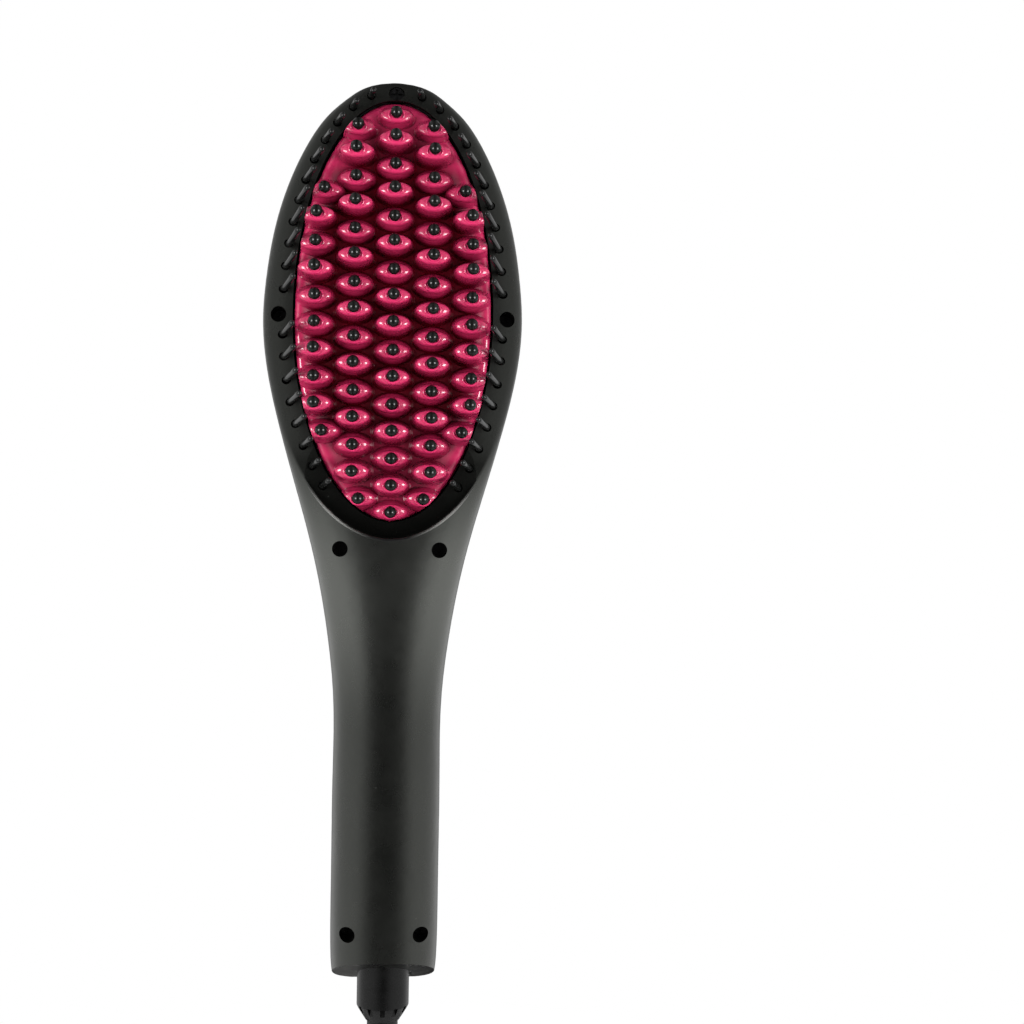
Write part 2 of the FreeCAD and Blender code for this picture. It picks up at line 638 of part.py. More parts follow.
def control_panel():
    """Glossy insert that continues the handle's back, with a flange behind the casing's wall."""
    outline = panel_wire(0)
    skin = prism(outline, -REACH, -PARTING_GAP).common(half_body(-1, 0))
    skin = skin.cut(half_body(-1, WALL + PANEL_FLANGE))
    flange = prism(panel_wire(PANEL_FLANGE_WIDTH), -REACH, BOARD_BACK_OUT - MOVING_GAP)
    flange = flange.common(half_body(-1, WALL + SEAT_GAP)).cut(half_body(-1, WALL + PANEL_FLANGE))
    panel = fused([skin, flange])
    through = [block(0, DISPLAY_DOWN, -REACH, OVERRUN, WINDOW_WIDTH, WINDOW_LENGTH),
               rounded_block(0, PAIR_DOWN, -REACH, OVERRUN, PAIR_WIDTH + 2 * BUTTON_GAP,
                             PAIR_LENGTH + 2 * BUTTON_GAP, PAIR_CORNER),
               bevel_block(PAIR_DOWN, PAIR_FACE_OUT + BUTTON_FLANGE, PAIR_BEVEL),
               rod(0, POWER_DOWN, -REACH, OVERRUN, POWER_DIAMETER + 2 * BUTTON_GAP),
               cone(0, POWER_DOWN, POWER_FACE_OUT - POWER_BEVEL, POWER_FACE_OUT,
                    POWER_DIAMETER + 2 * (BUTTON_GAP + POWER_BEVEL), POWER_DIAMETER + 2 * BUTTON_GAP),
               block(0, BODY_LENGTH / 2, BOARD_BACK_OUT - MOVING_GAP, OVERRUN, REACH, 2 * BODY_LENGTH)]
    room = [block(0, PAIR_DOWN, PAIR_FLANGE_OUT - BUTTON_GAP, OVERRUN,
                  PAIR_WIDTH + 2 * (BUTTON_FLANGE_WIDTH + BUTTON_GAP),
                  PAIR_LENGTH + 2 * (BUTTON_FLANGE_WIDTH + BUTTON_GAP)),
            rod(0, POWER_DOWN, POWER_FLANGE_OUT - BUTTON_GAP, OVERRUN,
                POWER_DIAMETER + 2 * (BUTTON_FLANGE_WIDTH + BUTTON_GAP)),
            block(0, DISPLAY_DOWN, WINDOW_OUT + WINDOW_THICKNESS - SEAT_GAP, OVERRUN,
                  GLASS_WIDTH + 2 * (HOLDER_WALL + FIT_GAP), GLASS_LENGTH + 2 * (HOLDER_WALL + FIT_GAP))]
    return panel.cut(through + room)


def display_window():
    """Clear window in the panel, its edge resting on the display holder."""
    return block(0, DISPLAY_DOWN, WINDOW_OUT, WINDOW_OUT + WINDOW_THICKNESS,
                 WINDOW_WIDTH - 2 * FIT_GAP, WINDOW_LENGTH - 2 * FIT_GAP)


GLASS_OUT = WINDOW_OUT + WINDOW_THICKNESS + SEAT_GAP
BACKLIGHT_OUT = GLASS_OUT + GLASS_THICKNESS + SEAT_GAP


def display_glass():
    """Liquid crystal cell behind the window."""
    return block(0, DISPLAY_DOWN, GLASS_OUT, GLASS_OUT + GLASS_THICKNESS, GLASS_WIDTH, GLASS_LENGTH)


def display_backlight():
    """Light guide between the glass and the board."""
    return block(0, DISPLAY_DOWN, BACKLIGHT_OUT, BOARD_BACK_OUT - SEAT_GAP, GLASS_WIDTH, GLASS_LENGTH)


def display_holder():
    """Frame round the glass and the backlight, standing on the board."""
    outer = block(0, DISPLAY_DOWN, GLASS_OUT, BOARD_BACK_OUT - SEAT_GAP,
                  GLASS_WIDTH + 2 * HOLDER_WALL, GLASS_LENGTH + 2 * HOLDER_WALL)
    inner = block(0, DISPLAY_DOWN, -REACH, REACH, GLASS_WIDTH + 2 * SEAT_GAP, GLASS_LENGTH + 2 * SEAT_GAP)
    return outer.cut(inner)


def pair_cap(down):
    """One half of the plus and minus pair: outer corners round, a flange behind the panel."""
    whole = rounded_block(0, PAIR_DOWN, PAIR_FACE_OUT, PAIR_FLANGE_OUT, PAIR_WIDTH, PAIR_LENGTH, PAIR_CORNER)
    half = block(0, down, -REACH, REACH, REACH, PAIR_CAP_LENGTH)
    flange = block(0, down, PAIR_FLANGE_OUT, PAIR_FLANGE_OUT + BUTTON_FLANGE,
                   PAIR_WIDTH + 2 * BUTTON_FLANGE_WIDTH, PAIR_CAP_LENGTH)
    foot = rod(0, down, PAIR_FLANGE_OUT, STEM_TOP_OUT - SEAT_GAP, BUTTON_FOOT)
    return fused([whole.common(half), flange, foot])


def bar(down, width, length, face_out):
    """Raised bar of a button's mark."""
    return block(0, down, face_out - MARK_HEIGHT, face_out + MARK_HEIGHT, width, length)


def plus_button():
    """Upper button of the pair with a raised plus."""
    down = BUTTON_DOWN["plus_button"]
    return fused([pair_cap(down), bar(down, MARK_LENGTH, MARK_WIDTH, PAIR_FACE_OUT),
                  bar(down, MARK_WIDTH, MARK_LENGTH, PAIR_FACE_OUT)])


def minus_button():
    """Lower button of the pair with a raised minus."""
    down = BUTTON_DOWN["minus_button"]
    return fused([pair_cap(down), bar(down, MARK_LENGTH, MARK_WIDTH, PAIR_FACE_OUT)])


def power_button():
    """Round button with a raised ring, open at the top, and a bar in the opening."""
    cap = rod(0, POWER_DOWN, POWER_FACE_OUT, POWER_FLANGE_OUT, POWER_DIAMETER)
    flange = rod(0, POWER_DOWN, POWER_FLANGE_OUT, POWER_FLANGE_OUT + BUTTON_FLANGE,
                 POWER_DIAMETER + 2 * BUTTON_FLANGE_WIDTH)
    foot = rod(0, POWER_DOWN, POWER_FLANGE_OUT, STEM_TOP_OUT - SEAT_GAP, BUTTON_FOOT)
    low, high = POWER_FACE_OUT - MARK_HEIGHT, POWER_FACE_OUT + MARK_HEIGHT
    ring = rod(0, POWER_DOWN, low, high, 2 * POWER_MARK_RADIUS + MARK_WIDTH)
    ring = ring.cut(rod(0, POWER_DOWN, low, high, 2 * POWER_MARK_RADIUS - MARK_WIDTH))
    ring = ring.cut(block(0, POWER_DOWN - POWER_MARK_RADIUS, low, high, 2 * POWER_MARK_OPENING,
                          2 * POWER_MARK_RADIUS))
    stroke = bar(POWER_DOWN - POWER_MARK_RADIUS, MARK_WIDTH, 2 * POWER_MARK_RADIUS, POWER_FACE_OUT)
    return fused([cap, flange, foot, ring, stroke])


# Control board and what is on it

SWITCH_TOP_OUT = BOARD_BACK_OUT - SWITCH_HEIGHT
STEM_TOP_OUT = SWITCH_TOP_OUT - SWITCH_STEM_RISE


def switch_bodies():
    """Three push switches on the back of the board, open for their stems."""
    bodies = []
    for down in BUTTON_DOWN.values():
        body = block(0, down, SWITCH_TOP_OUT, BOARD_BACK_OUT, SWITCH_SIDE, SWITCH_SIDE)
        hole = rod(0, down, SWITCH_TOP_OUT - OVERRUN, SWITCH_TOP_OUT + SWITCH_WELL,
                   SWITCH_STEM + 2 * RUNNING_GAP)
        bodies.append(body.cut(hole))
    return Part.makeCompound(bodies)


def switch_stem(button):
    """Stem of one switch, under its button's foot."""
    return rod(0, BUTTON_DOWN[button], STEM_TOP_OUT, SWITCH_TOP_OUT + SWITCH_STEM_ROOT, SWITCH_STEM)


def control_board():
    """Circuit board on the four posts of the front casing."""
    middle = (BOARD_TOP_DOWN + BOARD_BOTTOM_DOWN) / 2
    board = block(0, middle, BOARD_BACK_OUT, BOARD_OUT, BOARD_WIDTH, BOARD_BOTTOM_DOWN - BOARD_TOP_DOWN)
    return board.cut([rod(x, down, -REACH, REACH, BOARD_SCREW + 2 * FIT_GAP) for x, down in BOARD_SCREWS])


def board_screws():
    """Screws that hold the board, heads on its back."""
    screws = []
    for x, down in BOARD_SCREWS:
        head = rod(x, down, BOARD_BACK_OUT - BOARD_SCREW_HEAD_HEIGHT, BOARD_BACK_OUT, BOARD_SCREW_HEAD)
        shank = rod(x, down, BOARD_BACK_OUT, BOARD_BACK_OUT + BOARD_SCREW_LENGTH, BOARD_SCREW)
        screws.append(head.fuse(shank))
    return Part.makeCompound(screws)


def on_board(down, width, length, height):
    """Component on the front of the board."""
    return block(0, down, BOARD_OUT, BOARD_OUT + height, width, length)


# Heating plate


def tooth_rows():
    """Each tooth's column, place, half width and height above the plate's base."""
    teeth = []
    last = CENTRE_TEETH - 1
    for column in (-2, -1, 0, 1, 2):
        count = (CENTRE_TEETH, INNER_TEETH, OUTER_TEETH)[abs(column)]
        for row in range(count):
            step = row + (last - (count - 1)) / 2
            mirrored = min(row, count - 1 - row)
            tall = mirrored % 2 == 1
            down = TOOTH_FIRST_DOWN + step * TOOTH_PITCH
            edge = egg_half_width(down) - TOOTH_EDGE_GAP
            x = min(abs(column) * COLUMN_PITCH, edge - LEAST_TOOTH_REACH)
            reach = min(TOOTH_BASE_WIDTH / 2, edge - x)
            teeth.append((math.copysign(x, column), down, reach, TALL_TOOTH if tall else SHORT_TOOTH))
    return teeth


def ellipse_wire(x, down, out, half_width, half_depth):
    """Ellipse square to the parting plane, with its longer axis either way."""
    centre = at(x, down, out)
    across = at(x + half_width, down, out)
    along = at(x, down - half_depth, out)
    ends = (across, along) if half_width >= half_depth else (along, across)
    return Part.Wire([Part.Ellipse(ends[0], ends[1], centre).toShape()])


def tooth(x, down, reach, height):
    """Tapering oval tooth, rooted in the plate; its crest is rounded in steps of a quarter circle."""
    root = arch(down, PLATE_SINK) - FLANGE_THICKNESS
    crest = arch(down, PLATE_SINK) + height
    shrink = TOOTH_BASE_WIDTH / 2 - TOOTH_TOP_WIDTH / 2
    wires = [ellipse_wire(x, down, root, reach, TOOTH_BASE_DEPTH / 2)]
    for step in range(TOOTH_ROUNDING_STEPS + 1):
        angle = math.pi / 2 * step / TOOTH_ROUNDING_STEPS
        lower = TOOTH_ROUNDING * (1 - math.sin(angle))
        inset = TOOTH_ROUNDING * (1 - math.cos(angle))
        wires.append(ellipse_wire(x, down, crest - lower, reach - shrink - inset,
                                  TOOTH_TOP_DEPTH / 2 - inset))
    return Part.makeLoft(wires, True, True)


def heating_plate():
    """Arched plate with its teeth, its edge flange and four bosses behind it."""
    body = arch_layer(egg(0), PLATE_SINK, PLATE_UNDER)
    flange = arch_layer(egg(FLANGE_WIDTH), FLANGE_TOP, PLATE_UNDER)
    bosses = []
    for x, down in clamp_screw_places():
        boss = rod(x, down, -REACH, REACH, CLAMP_BOSS)
        bosses.append(arch_layer(boss, PLATE_SINK + FLANGE_THICKNESS, CLAMP_TOP - SEAT_GAP))
    trim = egg(-TOOTH_EDGE_GAP / 2)
    teeth = [tooth(*row).common(trim) for row in tooth_rows()]
    plate = fused([body, flange] + bosses + teeth)
    holes = [rod(x, down, arch(down, PLATE_SINK) + height - TIP_ROOT - FIT_GAP, REACH,
                 TIP_STEM + 2 * SEAT_GAP) for x, down, reach, height in tooth_rows()]
    for x, down in clamp_screw_places():
        top = arch(down, CLAMP_UNDER) + CLAMP_SCREW_REACH + FIT_GAP
        holes.append(rod(x, down, -REACH, top, CLAMP_SCREW + 2 * SEAT_GAP))
    holes += [rod(x, down, -REACH, arch(down + PILLAR_DIAMETER / 2, FLANGE_TOP) + FIT_GAP,
                  PILLAR_DIAMETER + 2 * FIT_GAP) for x, down in SCREW_PLACES["rim_screws"]]
    return plate.cut(holes)


def tooth_tips():
    """Ball tips, each on a stem that is pushed into its tooth."""
    tips = []
    for x, down, reach, height in tooth_rows():
        crest = arch(down, PLATE_SINK) + height
        ball = Part.makeSphere(TIP_BALL / 2, at(x, down, crest + TIP_BALL_RISE))
        stem = rod(x, down, crest - TIP_ROOT, crest + TIP_BALL_RISE, TIP_STEM)
        tips.append(ball.fuse(stem).removeSplitter())
    return Part.makeCompound(tips)


def plate_gasket():
    """Soft ring between the plate's flange and the rim's lip."""
    ring = egg(FLANGE_WIDTH).cut(egg(PLATE_GAP))
    ring = arch_layer(ring, LIP_THICKNESS + SEAT_GAP, FLANGE_TOP - SEAT_GAP)
    return ring.cut([rod(x, down, -REACH, REACH, PILLAR_DIAMETER + 2 * FIT_GAP)
                     for x, down in SCREW_PLACES["rim_screws"]])


def heating_film():
    """Thin heater pressed against the plate's back."""
    return arch_layer(egg(-FILM_INSET), FILM_TOP, INSULATION_TOP - SEAT_GAP)


def insulation_sheet():
    """Heat shield between the heater and the clamp, with a hole for the thermistor."""
    sheet = arch_layer(egg(-FILM_INSET), INSULATION_TOP, CLAMP_TOP - SEAT_GAP)
    return sheet.cut(rod(0, THERMISTOR_DOWN, -REACH, REACH, THERMISTOR_DIAMETER + 2 * FIT_GAP))


def heater_clamp():
    """Sheet metal clamp screwed to the plate's bosses."""
    sheet = arch_layer(egg(-CLAMP_INSET), CLAMP_TOP, CLAMP_UNDER)
    holes = [rod(x, down, -REACH, REACH, CLAMP_SCREW + 2 * FIT_GAP) for x, down in clamp_screw_places()]
    holes.append(rod(0, THERMISTOR_DOWN, -REACH, REACH, THERMISTOR_DIAMETER + 2 * FIT_GAP))
    return sheet.cut(holes)


def clamp_screws():
    """Four screws through the clamp into the plate."""
    screws = []
    for x, down in clamp_screw_places():
        ends = (down - CLAMP_SCREW_HEAD / 2, down + CLAMP_SCREW_HEAD / 2)
        seat = min(arch(end, CLAMP_UNDER) for end in ends) - SEAT_GAP
        head = rod(x, down, seat - CLAMP_SCREW_HEAD_HEIGHT, seat, CLAMP_SCREW_HEAD)
        shank = rod(x, down, seat, seat + CLAMP_SCREW_REACH, CLAMP_SCREW)
        screws.append(head.fuse(shank).removeSplitter())
    return Part.makeCompound(screws)


def thermistor():
    """Temperature sensor that touches the heater through the clamp."""
    top = arch(THERMISTOR_DOWN, INSULATION_TOP)
    bottom = arch(THERMISTOR_DOWN, CLAMP_UNDER) - THERMISTOR_RISE
    return rod(0, THERMISTOR_DOWN, bottom, top - SEAT_GAP, THERMISTOR_DIAMETER)


FUSE_CENTRE_OUT = arch(FUSE_DOWN + FUSE_LENGTH, CLAMP_UNDER) - FUSE_DIAMETER / 2 - FIT_GAP


def thermal_fuse():
    """Thermal cut-out that lies on the back of the clamp."""
    start = at(FUSE_OUT, FUSE_DOWN, FUSE_CENTRE_OUT)
    return Part.makeCylinder(FUSE_DIAMETER / 2, FUSE_LENGTH, start, DOWNWARD)


def rim_bristles():
    """Thin pins on strips that lie under the rim, one strip between each pair of screws."""
    middle = BRISTLE_OFFSET
    band = egg(middle + STRIP_WIDTH / 2).cut(egg(middle - STRIP_WIDTH / 2))
    band = arch_layer(band, LIP_THICKNESS + SEAT_GAP, LIP_THICKNESS + STRIP_THICKNESS)
    gaps = [rod(x, down, -REACH, REACH, PILLAR_DIAMETER + 2 * FIT_GAP)
            for x, down in SCREW_PLACES["rim_screws"]]
    low = bristle_path(BRISTLE_LAST_ANGLE + STRIP_END_ANGLE)[1]
    gaps.append(block(0, low + REACH / 2, -REACH, REACH, 2 * REACH, REACH))
    strips = band.cut(gaps)
    pins = []
    for start, aim in bristle_places():
        pin = Part.makeCone(BRISTLE_DIAMETER / 2, BRISTLE_TIP_DIAMETER / 2, BRISTLE_LENGTH, start, aim)
        ball = Part.makeSphere(BRISTLE_TIP_DIAMETER / 2, start + aim * BRISTLE_LENGTH)
        pins += [pin, ball]
    return strips.multiFuse(pins).removeSplitter()


def casing_screws(name):
    """Cross head screws at the bottom of their counterbores."""
    screws = []
    for x, down in SCREW_PLACES[name]:
        head = rod(x, down, SCREW_SEAT, SCREW_SEAT + SCREW_HEAD_HEIGHT, SCREW_HEAD)
        shank = rod(x, down, SCREW_SEAT - SCREW_LENGTH, SCREW_SEAT, SCREW_SHANK)
        top = SCREW_SEAT + SCREW_HEAD_HEIGHT
        cross = [block(x, down, top - CROSS_DEPTH, top + OVERRUN, SCREW_HEAD - CROSS_WIDTH, CROSS_WIDTH),
                 block(x, down, top - CROSS_DEPTH, top + OVERRUN, CROSS_WIDTH, SCREW_HEAD - CROSS_WIDTH)]
        screws.append(head.fuse(shank).removeSplitter().cut(cross))
    return Part.makeCompound(screws)


# Cord swivel


def turned(points):
    """Solid of revolution about the handle's axis from (radius, down) points."""
    line = [at(radius, down, 0) for radius, down in points]
    face = Part.Face(Part.makePolygon(line + line[:1]))
    return face.revolve(at(0, 0, 0), V(0, 0, 1), 360)


def swivel_barrel():
    """Barrel that turns in the handle's end: inner hub, flange, outer barrel, slotted collar."""
    hub, flange = HUB_DIAMETER / 2, SWIVEL_FLANGE / 2
    barrel, neck = BARREL_DIAMETER / 2, RELIEF_TOP_DIAMETER / 2 + COLLAR_LIP / 2
    bore = RELIEF_TOP_DIAMETER / 2 + SEAT_GAP
    lead = CORD_DIAMETER / 2 - COLLAR_LIP
    spigot_top = RELIEF_START_DOWN - RELIEF_SPIGOT - SEAT_GAP
    points = [(lead, FLANGE_HIGH_DOWN - HUB_LENGTH), (hub, FLANGE_HIGH_DOWN - HUB_LENGTH),
              (hub, FLANGE_HIGH_DOWN), (flange, FLANGE_HIGH_DOWN), (flange, FLANGE_LOW_DOWN),
              (barrel, FLANGE_LOW_DOWN), (barrel, BARREL_END_DOWN - COLLAR_LIP),
              (barrel - COLLAR_LIP / 2, BARREL_END_DOWN), (neck, RELIEF_START_DOWN),
              (bore, RELIEF_START_DOWN), (bore, spigot_top), (lead, spigot_top)]
    solid = turned(points)
    slots = []
    for number in range(COLLAR_SLOTS):
        slot = Part.makeBox(COLLAR_SLOT_WIDTH, BARREL_DIAMETER, COLLAR_SLOT_LENGTH,
                            V(-COLLAR_SLOT_WIDTH / 2, barrel - COLLAR_SLOT_DEPTH - COLLAR_LIP / 2,
                              TIP_Z - BARREL_END_DOWN - COLLAR_SLOT_LENGTH / 2))
        slot.rotate(V(0, 0, 0), V(0, 0, 1), 360 * number / COLLAR_SLOTS)
        slots.append(slot)
    return solid.cut(slots)


def ring_down(number):
    """Upper edge of one slip ring."""
    return FLANGE_HIGH_DOWN - SLIP_RING_FIRST - number * SLIP_RING_PITCH - SLIP_RING_WIDTH


def slip_rings():
    """Two contact rings on the hub."""
    rings = []
    for number in range(2):
        ring = axial(SLIP_RING_DIAMETER, ring_down(number), ring_down(number) + SLIP_RING_WIDTH)
        rings.append(ring.cut(axial(HUB_DIAMETER, ring_down(number), ring_down(number) + SLIP_RING_WIDTH)))
    return Part.makeCompound(rings)


CONTACT_BORE = SLIP_RING_DIAMETER + 2 * RUNNING_GAP
HOLDER_BORE = CONTACT_BORE + 2 * CONTACT_THICKNESS


def slip_contacts():
    """Two sprung contact bands in the holder, one round each slip ring."""
    bands = []
    for number in range(2):
        high = ring_down(number) + (SLIP_RING_WIDTH - CONTACT_WIDTH) / 2
        band = axial(HOLDER_BORE, high, high + CONTACT_WIDTH)
        bands.append(band.cut(axial(CONTACT_BORE, high, high + CONTACT_WIDTH)))
    return Part.makeCompound(bands)


def contact_holder():
    """Moulded cup round the slip rings, carried by a cradle in each casing."""
    cup = axial(HOLDER_DIAMETER, HOLDER_HIGH_DOWN, HOLDER_LOW_DOWN)
    return cup.cut(axial(HOLDER_BORE, HOLDER_HIGH_DOWN + HOLDER_CAP, HOLDER_LOW_DOWN))


def strain_relief():
    """Ribbed tapering sleeve, moulded round the cord's end and seated in the barrel's bore."""
    top, end = RELIEF_TOP_DIAMETER / 2, RELIEF_END_DIAMETER / 2
    points = [(0, RELIEF_START_DOWN - RELIEF_SPIGOT), (top, RELIEF_START_DOWN - RELIEF_SPIGOT)]
    rib = RELIEF_LENGTH / (2 * RELIEF_RIBS)
    for number in range(RELIEF_RIBS):
        start = RELIEF_START_DOWN + 2 * number * rib
        radius = top + (end - top) * number / RELIEF_RIBS
        points += [(radius, start), (radius, start + rib),
                   (radius - RELIEF_GROOVE, start + rib), (radius - RELIEF_GROOVE, start + 2 * rib)]
    points.append((0, RELIEF_END_DOWN))
    return turned(points)


# Cord, its coil, tie and plug

COIL_PITCH = CORD_DIAMETER + COIL_GAP
PLUG_LEVEL = COIL_PITCH + CORD_DIAMETER / 2 + MOVING_GAP + PLUG_HEIGHT / 2
LEAD_DROP = LEAD_RUN * math.cos(math.pi / 4)
CORD_EXIT_Z = TIP_Z - RELIEF_END_DOWN - SEAT_GAP
LAYER_Z = CORD_EXIT_Z - LEAD_RUN - LEAD_DROP
FLOOR_Z = LAYER_Z - CORD_DIAMETER / 2 - TIE_THICKNESS - SEAT_GAP
LEAD_REACH = LEAD_DROP + LEAD_RUN
COIL_HEADING = math.atan2(LEAD_REACH, COIL_RADIUS)
COIL_CENTRE_Y = math.hypot(LEAD_REACH, COIL_RADIUS)


def cord_route():
    """Hand-chosen points of the free stretch: down from the relief, then along the surface."""
    heading = V(math.cos(COIL_HEADING), math.sin(COIL_HEADING), 0)
    exit_point = V(0, 0, CORD_EXIT_Z)
    below = V(0, 0, CORD_EXIT_Z - LEAD_RUN)
    bend = heading * LEAD_DROP + V(0, 0, LAYER_Z)
    start = heading * LEAD_REACH + V(0, 0, LAYER_Z)
    return [exit_point, below, bend, start]


def rounded_path(points):
    """Straight runs joined by tangent arcs, each as large as its two runs allow."""
    edges, radii = [], []
    start = points[0]
    for before, corner, after in zip(points, points[1:], points[2:]):
        inward, onward = (before - corner), (after - corner)
        shorter = min(inward.Length, onward.Length)
        turn = math.pi - inward.getAngle(onward)
        setback = BEND_SHARE * shorter
        radius = setback / math.tan(turn / 2)
        first = corner + inward.normalize() * setback
        last = corner + onward.normalize() * setback
        middle = (inward + onward).normalize()
        centre_gap = math.hypot(radius, setback)
        edges.append(Part.LineSegment(start, first).toShape())
        edges.append(Part.Arc(first, corner + middle * (centre_gap - radius), last).toShape())
        radii.append(radius)
        start = last
    edges.append(Part.LineSegment(start, points[-1]).toShape())
    return Part.Wire(edges), radii


def tube(path, diameter):
    """Round tube along a path."""
    first = path.Edges[0]
    start = first.valueAt(first.FirstParameter)
    aim = first.tangentAt(first.FirstParameter)
    circle = Part.Wire([Part.makeCircle(diameter / 2, start, aim)])
    return path.makePipeShell([circle], True, False)


def coil_local(x, y, height):
    """Point of the coil, whose first turn starts at +X of its own frame heading for +Y."""
    turn = COIL_HEADING - math.pi / 2
    return V(x * math.cos(turn) - y * math.sin(turn),
             COIL_CENTRE_Y + x * math.sin(turn) + y * math.cos(turn), LAYER_Z + height)


def coil_half_turns():
    """Radius, start, end and heights of each half turn: in on one layer, out on the next."""
    steps = list(range(COIL_HALF_TURNS + 1)) + list(range(COIL_HALF_TURNS - 1, 0, -1))
    radii = [COIL_RADIUS - step * COIL_PITCH / 2 for step in steps]
    levels = [0.0] * (COIL_HALF_TURNS + 1) + [COIL_PITCH] * (COIL_HALF_TURNS - 1) + [PLUG_LEVEL]
    turns = []
    start, side = COIL_RADIUS, 1
    for radius, low, high in zip(radii, levels, levels[1:]):
        turns.append((radius, start, start - side * 2 * radius, side, low, high))
        start -= side * 2 * radius
        side = -side
    return turns


def coil_path():
    """Half circles in one unbroken line, two of which climb, then a quarter circle and a straight end."""
    edges = []
    for radius, start, end, side, low, high in coil_half_turns():
        middle = coil_local((start + end) / 2, side * radius, (low + high) / 2)
        edges.append(Part.Arc(coil_local(start, 0, low), middle, coil_local(end, 0, high)).toShape())
    outer = coil_half_turns()[-1][2]
    centre, top = outer - TOP_TURN_RADIUS, TOP_TURN_RADIUS
    slant = top * math.cos(math.pi / 4)
    tail = coil_local(centre, top, PLUG_LEVEL)
    edges.append(Part.Arc(coil_local(outer, 0, PLUG_LEVEL),
                          coil_local(centre + slant, slant, PLUG_LEVEL), tail).toShape())
    edges.append(Part.LineSegment(tail, coil_local(centre - TAIL_LENGTH, top, PLUG_LEVEL)).toShape())
    return Part.Wire(edges)


def least_coil_gap(path):
    """Least distance between the skins of two stretches of the coil, measured on points."""
    points = path.discretize(Distance=CORD_DIAMETER / 2)
    skip = int(COIL_RADIUS * math.pi / CORD_DIAMETER)
    gaps = []
    for number, point in enumerate(points):
        gaps += [point.distanceToPoint(other) for other in points[number + skip:]]
    return min(gaps) - CORD_DIAMETER


def plug_local(along, across, height):
    """Point of the plug: along is away from the coil's end, height is above the cord's centre."""
    nose = coil_half_turns()[-1][2] - TOP_TURN_RADIUS - TAIL_LENGTH - FIT_GAP
    return coil_local(nose - along, TOP_TURN_RADIUS + across, PLUG_LEVEL + height)


def plug_body():
    """Moulded plug lying on the coil, tapering to the cord."""
    half, nose, low = PLUG_WIDTH / 2, PLUG_NOSE_WIDTH / 2, -PLUG_HEIGHT / 2
    points = [plug_local(0, -nose, low), plug_local(0, nose, low),
              plug_local(PLUG_LENGTH / 2, half, low), plug_local(PLUG_LENGTH, half, low),
              plug_local(PLUG_LENGTH, -half, low), plug_local(PLUG_LENGTH / 2, -half, low)]
    body = Part.Face(Part.makePolygon(points + points[:1])).extrude(V(0, 0, PLUG_HEIGHT))
    body = body.makeFillet(PLUG_CORNER, body.Edges)
    return body.cut(pin_roots(SEAT_GAP))


def plug_pin_places():
    """Point of each contact pin on the plug's face, and the way the pins point."""
    aim = (plug_local(1, 0, 0) - plug_local(0, 0, 0)).normalize()
    return [(plug_local(PLUG_LENGTH, side * PIN_SPACING / 2, 0), aim) for side in (-1, 1)]


def pin_roots(grow):
    """Roots of the contact pins inside the plug, or the holes for them."""
    radius, length = PIN_ROOT_DIAMETER / 2 + grow, PIN_ROOT + grow
    return [Part.makeCylinder(radius, length, face - aim * length, aim) for face, aim in plug_pin_places()]


def plug_pins():
    """Two round contact pins with rounded ends."""
    pins = []
    for root, (face, aim) in zip(pin_roots(0), plug_pin_places()):
        shaft = Part.makeCylinder(PIN_DIAMETER / 2, PIN_LENGTH, face, aim)
        end = max(shaft.Edges, key=lambda edge: (edge.CenterOfMass - face).dot(aim))
        pins.append(shaft.makeFillet(PIN_ROUNDING, [end]).fuse(root))
    return Part.makeCompound(pins)


def cord_tie():
    """Strap round both layers of the coil, beside the plug."""
    turns = coil_half_turns()
    outer = turns[0][0] + CORD_DIAMETER / 2 + TIE_SLACK
    inner = turns[COIL_HALF_TURNS][0] - CORD_DIAMETER / 2 - TIE_SLACK - COIL_PITCH / 2
    low = -CORD_DIAMETER / 2 - SEAT_GAP
    high = COIL_PITCH + CORD_DIAMETER / 2 + TIE_ROOM

    def ring_block(grow, wide):
        near, far, floor = inner - grow, outer + grow, low - grow
        corners = [coil_local(-wide / 2, near, floor), coil_local(wide / 2, near, floor),
                   coil_local(wide / 2, far, floor), coil_local(-wide / 2, far, floor)]
        face = Part.Face(Part.makePolygon(corners + corners[:1]))
        face.rotate(coil_local(0, 0, 0), V(0, 0, 1), TIE_ANGLE - 90)
        return face.extrude(V(0, 0, high - low + 2 * grow))

    strap = ring_block(TIE_THICKNESS, TIE_WIDTH)
    long_edges = [edge for edge in strap.Edges if abs(edge.Length - TIE_WIDTH) < SEAT_GAP]
    return strap.makeFillet(TIE_CORNER, long_edges).cut(ring_block(0, 2 * TIE_WIDTH))


# Wires inside the casing


def wire_between(points, diameter):
    """Insulated wire along hand-chosen points."""
    return tube(rounded_path(points)[0], diameter)


def heater_leads():
    """Two wires from the heater's lower end to the front of the board."""
    wires = []
    end_out = BOARD_OUT + WIRE_DIAMETER / 2 + SEAT_GAP
    top = PLATE_BOTTOM_DOWN - CLAMP_INSET - CLAMP_BOSS - CLAMP_SCREW_INSET
    first = top - WIRE_END_RUN
    for side in (-1, 1):
        x = side * CHIP_SIDE / 2
        points = [at(x, first, arch(first, CLAMP_UNDER) - WIRE_DIAMETER),
                  at(x, top, arch(PLATE_BOTTOM_DOWN, CLAMP_UNDER) - WIRE_DIAMETER),
                  at(x, BOARD_TOP_DOWN - WIRE_END_RUN, end_out),
                  at(x, BOARD_TOP_DOWN + 2 * WIRE_END_RUN, end_out)]
        wires.append(wire_between(points, WIRE_DIAMETER))
    return Part.makeCompound(wires)


